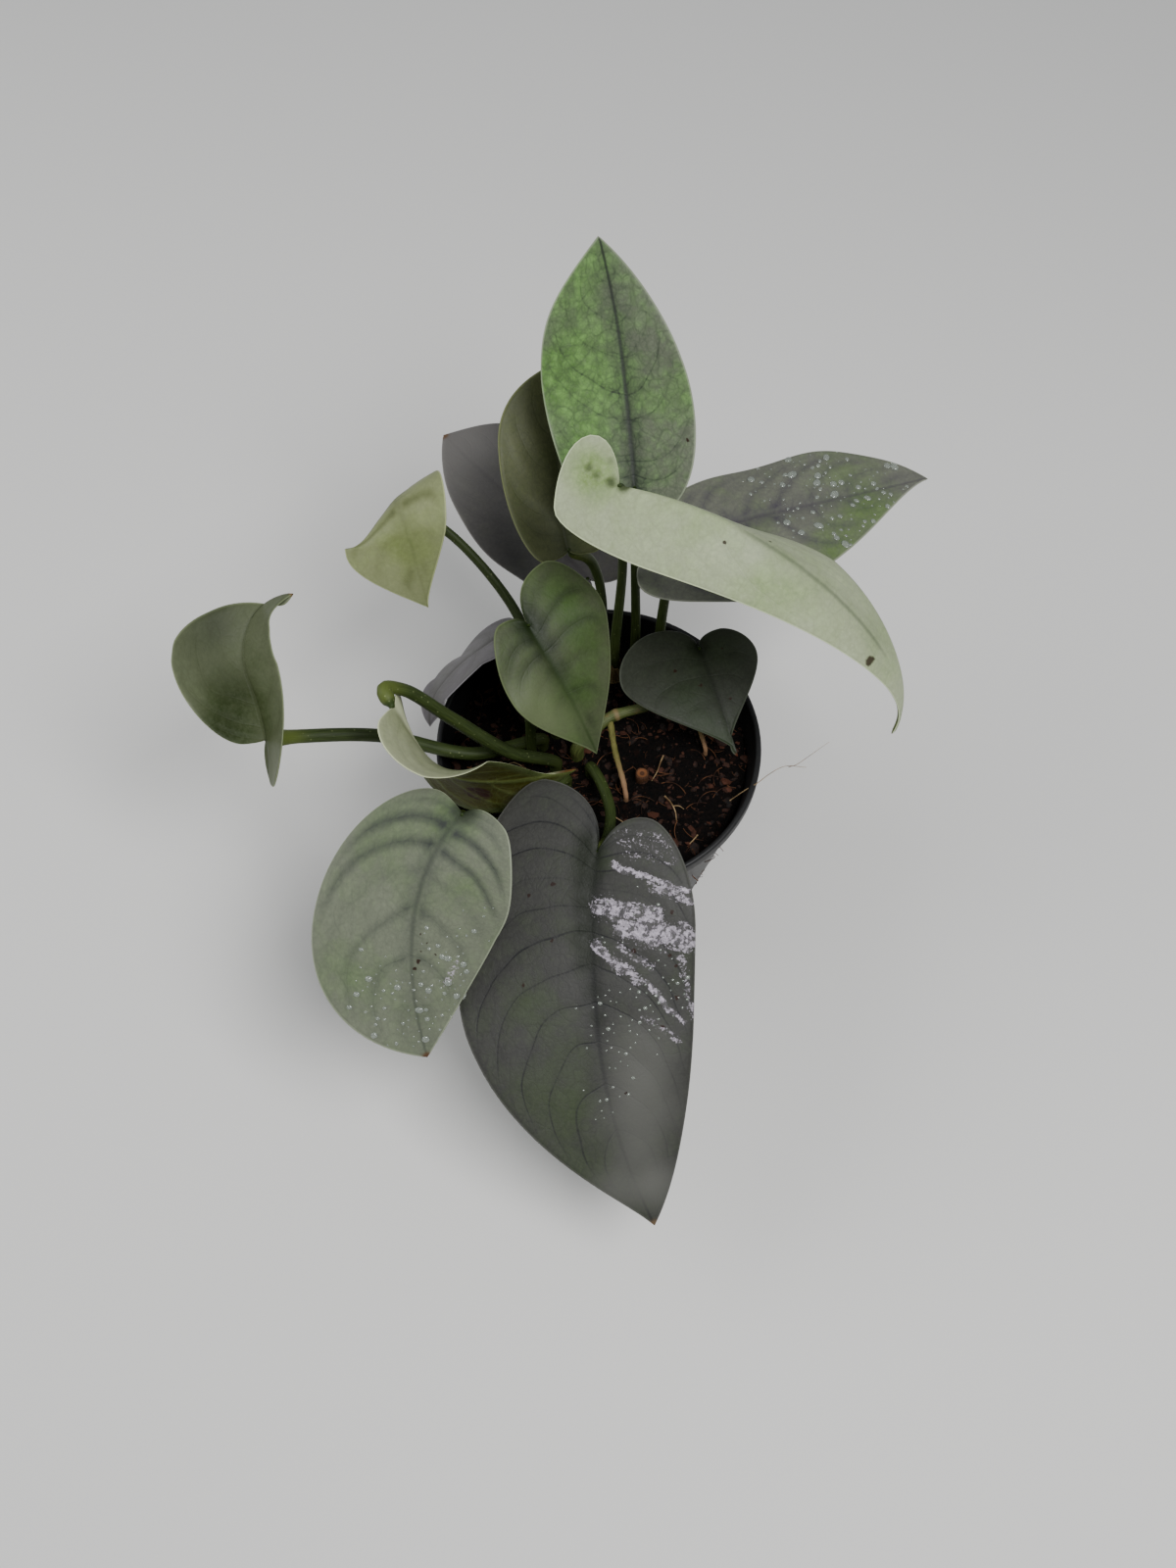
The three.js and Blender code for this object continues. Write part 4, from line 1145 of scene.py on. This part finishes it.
def stem_finish():
    """Green stem with tan blotches and corky scars."""
    paint = Paint("stem_skin", Specular_IOR_Level=0.45)
    run, turn, share = paint.parts(paint.mark("stalk"))
    place = paint.place()
    streak = paint.streaks(run, turn, 5, 20, 4.0)
    blotch = paint.noise(place, 260.0, 4.0, 0.6)
    colour = paint.mix(paint.step(streak, 0.35, 0.7), (58, 68, 32), (96, 104, 56))
    colour = paint.mix(paint.step(blotch, 0.55, 0.75) * 0.7, colour, (104, 84, 50))
    scars = 0.0
    for at in STEM_RINGS:
        scars = (1 - paint.step(paint.maths("ABSOLUTE", share - at), 0.004, 0.02)) + scars
    colour = paint.mix(paint.maths("MINIMUM", scars, 1.0) * 0.75, colour, (122, 104, 70))
    return paint.finish(Base_Color=colour, Roughness=0.45 + blotch * 0.2,
                        Normal=paint.bump(streak + blotch, 0.0003, 0.6))


def root_finish():
    """Greenish tan aerial root, pinkish towards the mix and specked with it."""
    paint = Paint("root_skin", Specular_IOR_Level=0.3)
    run, turn, share = paint.parts(paint.mark("stalk"))
    place = paint.place()
    grain = paint.streaks(run, turn, 9, 12, 4.0)
    speck = paint.noise(place, 900.0, 3.0)
    colour = paint.mix(paint.step(grain, 0.3, 0.7), (78, 78, 34), (120, 116, 64))
    colour = paint.mix((1 - paint.step(share, 0.4, 0.72)) * 0.8, colour, (148, 110, 86))
    colour = paint.mix(paint.step(speck, 0.55, 0.8) * 0.5, colour, (76, 56, 38))
    return paint.finish(Base_Color=colour, Roughness=0.6 + speck * 0.2,
                        Normal=paint.bump(grain + speck, 0.0003, 0.8))


def root_piece(name, shape, finish):
    def radius(share, run):
        lumps = 1 + 0.06 * np.sin(run * 1.7) + 0.05 * np.sin(run * 0.63 + 1)
        return along(shape["radius"], share) * 0.86 * lumps

    return tube(name, planted(shape["foot"], shape["route"], 2), radius, finish, 14, 0.8)


def stump_piece():
    """The stump of a pruned stem: a bark ring round a paler cut face."""
    x, y = STUMP["foot"]
    r, top = STUMP["radius"], SOIL_LEVEL + STUMP["height"]
    bottom = SOIL_LEVEL - HOLE_DEPTH + 0.4
    profile = [(0, bottom), (r, bottom), (r, top - 0.5), (r - 0.25, top), (r - 0.7, top + 0.05),
               (r - 0.9, top - 0.35), (0.9, top - 0.3), (0, top - 0.55)]
    sides = 40
    turn = around(sides)
    wobble = 1 + 0.03 * np.sin(3 * turn + 1) + 0.02 * np.sin(7 * turn)
    points = np.array([[(x + q * w * math.cos(a), y + q * w * math.sin(a), z) for a, w in zip(turn, wobble)]
                       for q, z in profile]).reshape(-1, 3)
    faces = grid_faces(len(profile), sides, closed=True, flip=True)
    paint = Paint("cut_stem", Specular_IOR_Level=0.3)
    place = paint.place()
    px, py, pz = paint.parts(place)
    away = paint.vector_maths("LENGTH", paint.joined(px - x * MM, py - y * MM), output=1) / MM
    cut = paint.step(pz / MM, top - 0.7, top - 0.4) * (1 - paint.step(away, r - 0.8, r - 0.5))
    grain = paint.noise(place, 1600.0, 4.0)
    colour = paint.mix(paint.step(grain, 0.3, 0.7), (50, 32, 21), (82, 54, 34))
    colour = paint.mix(cut * 0.85, colour, (118, 76, 46))
    heart = (1 - paint.step(away, 0.6, 1.2)) * cut
    colour = paint.mix(heart * 0.8, colour, (44, 26, 17))
    finish = paint.finish(Base_Color=colour, Roughness=0.75 + grain * 0.1, Normal=paint.bump(grain, 0.0003, 0.8))
    return mesh_piece("pruned_stump", points, faces, [finish])


def sheath_piece():
    """The dry papery sheath round the foot of the longest stalk, torn at the top."""
    x, y = LEAVES[3]["foot"]
    low, high = SHEATH["outer"]
    bottom, height, inner = SOIL_LEVEL + 0.6, SHEATH["height"], SHEATH["inner"]
    sides, levels = 72, 26
    turn = around(sides)
    torn = height - 3.6 + SHEATH["slant"] / 2 * np.cos(turn + math.pi) * 0.9 + 0.35 * np.sin(9 * turn) \
        + 0.25 * np.sin(17 * turn + 2)
    rings = []
    for wall in (1, 0):
        for k in range(levels) if wall else range(levels - 1, -1, -1):
            share = k / (levels - 1)
            outer = low + (high - low) * share - 0.05 + 0.1 * np.sin(6 * turn + 3 * share)
            outer = outer - 0.35 * share * (1 + np.sin(2 * turn + 1)) / 2
            size = outer if wall else np.maximum(outer - 0.45, inner)
            z = bottom + share * torn
            rings.append(np.stack([x + size * np.cos(turn), y + size * np.sin(turn), z + 0 * turn], -1))
    points = np.array(rings).reshape(-1, 3)
    faces = grid_faces(len(rings), sides, closed=True, flip=True)
    last = (len(rings) - 1) * sides
    faces += [[j, (j + 1) % sides, last + (j + 1) % sides, last + j] for j in range(sides)]
    paint = Paint("dry_sheath", Specular_IOR_Level=0.2)
    place = paint.place()
    fibre = paint.noise(paint.vector_maths("MULTIPLY", place, (1.0, 1.0, 0.08)), 2600.0, 4.0, 0.6)
    blotch = paint.noise(place, 240.0, 4.0, 0.6)
    colour = paint.mix(paint.step(fibre, 0.35, 0.65), (84, 68, 42), (138, 120, 82))
    colour = paint.mix(paint.step(blotch, 0.5, 0.7) * 0.6, colour, (98, 68, 40))
    finish = paint.finish(Base_Color=colour, Roughness=0.75 + fibre * 0.1, Normal=paint.bump(fibre, 0.0004, 0.9))
    return mesh_piece("torn_sheath", points, faces, [finish])


# Pot and soil


def soil_height(x, y):
    """The gently uneven top of the mix, lower at the wall."""
    r = np.hypot(x, y) / wall_inside(SOIL_LEVEL)
    return SOIL_LEVEL - 1.5 * r ** 3 + 0.7 * np.sin(0.21 * x + 1.3) * np.cos(0.17 * y + 0.4) - 0.4


def soil_piece():
    """The crumbly body of potting mix that fills the pot."""
    rings, sides = 64, 170
    radius = wall_inside(SOIL_LEVEL - 3) - GAP
    turn = around(sides)
    rows = []
    for k in range(rings + 1):
        r = radius * k / rings
        x, y = r * np.cos(turn), r * np.sin(turn)
        z = soil_height(x, y)
        crumbs = [noise.fractal(Vector((a * 0.22, b * 0.22, 3.1)), 0.8, 2.1, 4) for a, b in zip(x, y)]
        lumps = [noise.noise(Vector((a * 0.9, b * 0.9, 7.7))) for a, b in zip(x, y)]
        rise = 0.55 * np.array(crumbs) + 0.35 * np.array(lumps)
        rows.append(np.stack([x, y, z + np.where(k == 0, rise.mean(), rise)], -1))
    low = wall_inside(FLOOR + GAP) - GAP
    for r in (low, 0):
        rows.append(np.stack([r * np.cos(turn), r * np.sin(turn), FLOOR + GAP + 0 * turn], -1))
    points = np.array(rows).reshape(-1, 3)
    faces = grid_faces(len(rows), sides, closed=True)
    return mesh_piece("potting_mix", points, faces, [soil_finish()])


def soil_finish():
    """Nearly black moist mix with brown crumbs, its dark colour deepened by painted shade of the plant above it."""
    paint = Paint("moist_mix", Specular_IOR_Level=0.15)
    place = paint.place()
    grain = paint.noise(place, 700.0, 6.0, 0.7)
    crumb = paint.cells(place, 900.0)
    # The dark colours are partly painted shade of the leaves above the mix.
    colour = paint.mix(paint.step(grain, 0.35, 0.7), (5, 4, 4), (22, 15, 11))
    colour = paint.mix(paint.step(paint.noise(place, 260.0, 3.0), 0.58, 0.7) * 0.6, colour, (38, 22, 15))
    return paint.finish(Base_Color=colour, Roughness=0.8 - paint.step(grain, 0.6, 0.8) * 0.35,
                        Normal=paint.bump(grain + crumb * 0.6, 0.0012, 1.0))


def chips_piece(soil):
    """Flakes of bark and crumbs strewn over the mix."""
    paint = Paint("bark_chips", Specular_IOR_Level=0.35)
    place = paint.place()
    tone = paint.node("ShaderNodeAttribute", {"attribute_name": "tone"}, output=2)
    grain = paint.noise(place, 1500.0, 4.0, 0.6)
    colour = paint.mix(tone, (14, 10, 8), (72, 40, 26))
    colour = paint.mix(paint.step(grain, 0.45, 0.75) * 0.4, colour, (96, 62, 42))
    finish = paint.finish(Base_Color=colour, Roughness=0.7 + grain * 0.15, Normal=paint.bump(grain, 0.0005, 0.9))
    chips = Weave("bark_chips", {
        "Per square metre": CHIPS_PER_CM2 * 1e4, "Smallest": 0.5 * MM, "Largest": 3.6 * MM, "Seed": SEED,
        "Finish": finish,
    })
    block = chips.node("GeometryNodeMeshIcoSphere", None, {"Radius": 1.0, "Subdivisions": 1})
    rotation = chips.turned((0.7, 0.7, 3.1), SEED + 1)
    dice = chips.chance(0.0, 1.0, SEED + 2)
    stretch = chips.chance((0.35, 0.25, 0.12), (1.0, 0.7, 0.35), SEED + 3)
    size = chips.scaled(stretch, chips.between("Smallest", "Largest", dice ** 3.0))
    laid = chips.laid(chips.strewn(), block, rotation, size)
    toned = chips.node("GeometryNodeStoreNamedAttribute", {"data_type": "FLOAT", "domain": "INSTANCE"}, {
        "Geometry": laid, "Name": "tone", "Value": chips.chance(0.0, 1.0, SEED + 4) ** 1.6,
    })
    real = chips.node("GeometryNodeRealizeInstances", None, {0: toned})
    drift = chips.noise(chips.node("GeometryNodeInputPosition"), 900.0, 1.0, output=1)
    shift = chips.vector_maths("MULTIPLY", chips.vector_maths("SUBTRACT", drift, (0.5, 0.5, 0.5)),
                               (0.0012, 0.0012, 0.0008))
    chips.close(chips.node("GeometryNodeSetPosition", None, {"Geometry": real, "Offset": shift}), soft=False)
    return chips.grow("bark_chips", soil)


def fibres_piece(soil):
    """Short coir fibres lying on the mix."""
    paint = Paint("coir_fibre", Specular_IOR_Level=0.3)
    tone = paint.noise(paint.place(), 180.0, 2.0)
    colour = paint.mix(paint.step(tone, 0.35, 0.65), (44, 27, 18), (104, 68, 44))
    finish = paint.finish(Base_Color=colour, Roughness=0.7 + tone * 0.1)
    fibres = Weave("coir_fibres", {
        "Per square metre": FIBRES_PER_CM2 * 1e4, "Shortest": 3.0 * MM, "Longest": 11.0 * MM, "Seed": SEED,
        "Finish": finish,
    })
    bow = fibres.node("GeometryNodeCurveQuadraticBezier", None, {
        "Resolution": 7, "Start": (-0.5, 0.0, 0.0), "Middle": (0.0, 0.35, 0.14), "End": (0.5, -0.08, 0.02),
    })
    round_section = fibres.node("GeometryNodeCurvePrimitiveCircle", None, {"Resolution": 4, "Radius": 0.017})
    strand = fibres.node("GeometryNodeCurveToMesh", None, {
        "Curve": bow, "Profile Curve": round_section, "Fill Caps": True,
    })
    length = fibres.between("Shortest", "Longest", fibres.chance(0.0, 1.0, SEED + 5) ** 2.0)
    fibres.close(fibres.laid(fibres.strewn(), strand, fibres.turned((0.3, 0.3, 3.1), SEED + 6), length))
    return fibres.grow("coir_fibres", soil)


def thinning(thick):
    """The size of a root that thins out towards its end."""
    return lambda share, run: thick * (1.05 - 0.6 * share)


def loose_root_pieces():
    """Thin tan roots that run over the mix, and the strands that reach over the rim."""
    paint = Paint("fine_root", Specular_IOR_Level=0.3)
    tone = paint.noise(paint.place(), 300.0, 3.0)
    colour = paint.mix(paint.step(tone, 0.35, 0.65), (96, 74, 50), (158, 134, 100))
    finish = paint.finish(Base_Color=colour, Roughness=0.65 + tone * 0.1, Normal=paint.bump(tone, 0.0002, 0.5))
    lying = [(thick, [(x, y, soil_height(x, y) + rise) for x, y, rise in places]) for thick, places in FINE_ROOTS]
    for label, sides, threads in (("fine_root", 7, lying), ("strand", 6, STRANDS)):
        for k, (thick, route) in enumerate(threads, 1):
            shown(tube(f"{label}_{k}", route, thinning(thick), finish, sides, 1.0), "root")


def wall_inside(z):
    """Radius of the inside of the pot's tapered wall at a height."""
    return BASE_RADIUS - WALL + (z - FLOOR) / (POT_HEIGHT - FLOOR) * (RIM_RADIUS - RIM_LIP - BASE_RADIUS)


def rounded(points, radius, steps=5):
    """An outline whose corners are turned into short arcs."""
    made = []
    for k, corner in enumerate(points):
        if k in (0, len(points) - 1):
            made.append(corner)
            continue
        corner = np.array(corner, float)
        before, after = np.array(points[k - 1], float), np.array(points[k + 1], float)
        reach = min(radius, 0.45 * np.linalg.norm(before - corner), 0.45 * np.linalg.norm(after - corner))
        a = corner + (before - corner) / np.linalg.norm(before - corner) * reach
        b = corner + (after - corner) / np.linalg.norm(after - corner) * reach
        for t in np.linspace(0, 1, steps):
            made.append(tuple((1 - t) ** 2 * a + 2 * t * (1 - t) * corner + t * t * b))
    return made


def pot_piece():
    """Black nursery pot: tapered wall, turned-out rim and a flat base with drainage holes."""
    shoulder = POT_HEIGHT - RIM_HEIGHT
    outside = wall_inside(shoulder) + WALL
    profile = rounded([
        (0, 0), (BASE_RADIUS - 1.5, 0), (BASE_RADIUS, 1.5), (outside, shoulder - 0.2),
        (RIM_RADIUS - 0.3, shoulder), (RIM_RADIUS, shoulder + 0.6), (RIM_RADIUS, POT_HEIGHT - 0.7),
        (RIM_RADIUS - 0.6, POT_HEIGHT), (wall_inside(POT_HEIGHT) + 0.5, POT_HEIGHT),
        (wall_inside(POT_HEIGHT), POT_HEIGHT - 0.6), (wall_inside(FLOOR), FLOOR), (0, FLOOR),
    ], CORNER)
    sides = 144
    turn = around(sides)
    rings = np.array([[(r * math.cos(a), r * math.sin(a), z) for a in turn] for r, z in profile])
    points = rings.reshape(-1, 3)
    faces = grid_faces(len(profile), sides, closed=True, flip=True)
    pot = mesh_piece("nursery_pot", points, faces, [pot_finish()])
    cutters = []
    for k in range(DRAIN_COUNT):
        angle = 2 * math.pi * k / DRAIN_COUNT
        bpy.ops.mesh.primitive_cylinder_add(
            vertices=40, radius=DRAIN_RADIUS * MM, depth=8 * MM,
            location=(DRAIN_CIRCLE * math.cos(angle) * MM, DRAIN_CIRCLE * math.sin(angle) * MM, MM),
        )
        cutter = bpy.context.object
        cutters.append(cutter)
        cut = pot.modifiers.new("drain", "BOOLEAN")
        cut.operation, cut.solver, cut.object = "DIFFERENCE", "EXACT", cutter
    plain = applied(pot, "nursery_pot")
    for cutter in cutters:
        bpy.data.objects.remove(cutter)
    return shown(plain, "pot", "pot")


def applied(source, name):
    """A plain mesh object of what a piece's modifiers make. The source is removed."""
    graph = bpy.context.evaluated_depsgraph_get()
    mesh = bpy.data.meshes.new_from_object(source.evaluated_get(graph))
    bpy.data.objects.remove(source)
    mesh.name = name
    return placed(name, mesh)


def pot_finish():
    """Black satin plastic with a little dust of the mix."""
    paint = Paint("pot_plastic", Specular_IOR_Level=0.5)
    place = paint.place()
    fine = paint.noise(place, 900.0, 3.0)
    broad = paint.noise(place, 40.0, 4.0, 0.6)
    dust = paint.step(broad, 0.55, 0.8) * paint.step(fine, 0.4, 0.7)
    colour = paint.mix(dust * 0.5, (22, 22, 23), (62, 54, 46))
    return paint.finish(Base_Color=colour, Roughness=0.38 + fine * 0.2, Normal=paint.bump(fine, 0.0001, 0.4))


# Camera, light and floor


def make_camera():
    camera = placed("camera", bpy.data.cameras.new("camera"))
    camera.data.lens = LENS
    camera.data.sensor_width = SENSOR
    camera.data.clip_start = 0.01
    camera.location = Vector(EYE) * MM
    camera.rotation_euler = (math.radians(90 - DOWN), 0, 0)
    bpy.context.scene.camera = camera


def make_floor():
    bpy.ops.mesh.primitive_plane_add(size=6)
    floor = bpy.context.object
    floor.name = "floor"
    paint = Paint("floor_paint", Roughness=0.9)
    floor.data.materials.append(paint.finish(Base_Color=(0.78, 0.77, 0.75, 1)))


def make_light(name, place, size, watts):
    """A soft square lamp turned to the plant. Its place is in metres."""
    lamp = bpy.data.lights.new(name, "AREA")
    lamp.energy, lamp.size = watts, size
    light = placed(name, lamp)
    light.location = place
    light.rotation_euler = (Vector(LIT_PLACE) - Vector(place)).to_track_quat("-Z", "Y").to_euler()


def make_studio():
    make_floor()
    make_light("softbox", (0.34, -0.42, 1.1), 0.5, 12)
    make_light("fill", (-0.9, 0.1, 0.8), 0.8, 6)
    world = bpy.data.worlds.new("studio")
    world.use_nodes = True
    sky = world.node_tree.nodes["Background"]
    sky.inputs["Color"].default_value = (0.9, 0.95, 1.0, 1)
    sky.inputs["Strength"].default_value = 0.27
    bpy.context.scene.world = world


make_camera()
make_studio()
pot_piece()
stalk_green = stalk_finish()
water = water_finish()
slots = {part["node"]: part["material_slot"] for part in frame["record"]["subparts"]}
for number in LEAVES:
    blade = shown(blade_piece(number), slots[f"blade_{number:02d}"], f"blade_{number:02d}")
    shown(petiole_piece(number, stalk_green), "petiole", f"petiole_{number:02d}")
    if "dew" in FINISHES[number]:
        dew_piece(number, blade, water)

root_skin = root_finish()
shown(stem_piece(), "stem", "vine")
shown(root_piece("root_long", LONG_ROOT, root_skin), "root", "aerial_root_long")
shown(root_piece("root_short", SHORT_ROOT, root_skin), "root", "aerial_root_short")
shown(stump_piece(), "stem_cut", "cut_stem")
shown(sheath_piece(), "sheath", "dry_sheath")
soil = shown(soil_piece(), "potting_mix", "soil")
shown(chips_piece(soil), "potting_mix")
shown(fibres_piece(soil), "potting_mix")
loose_root_pieces()
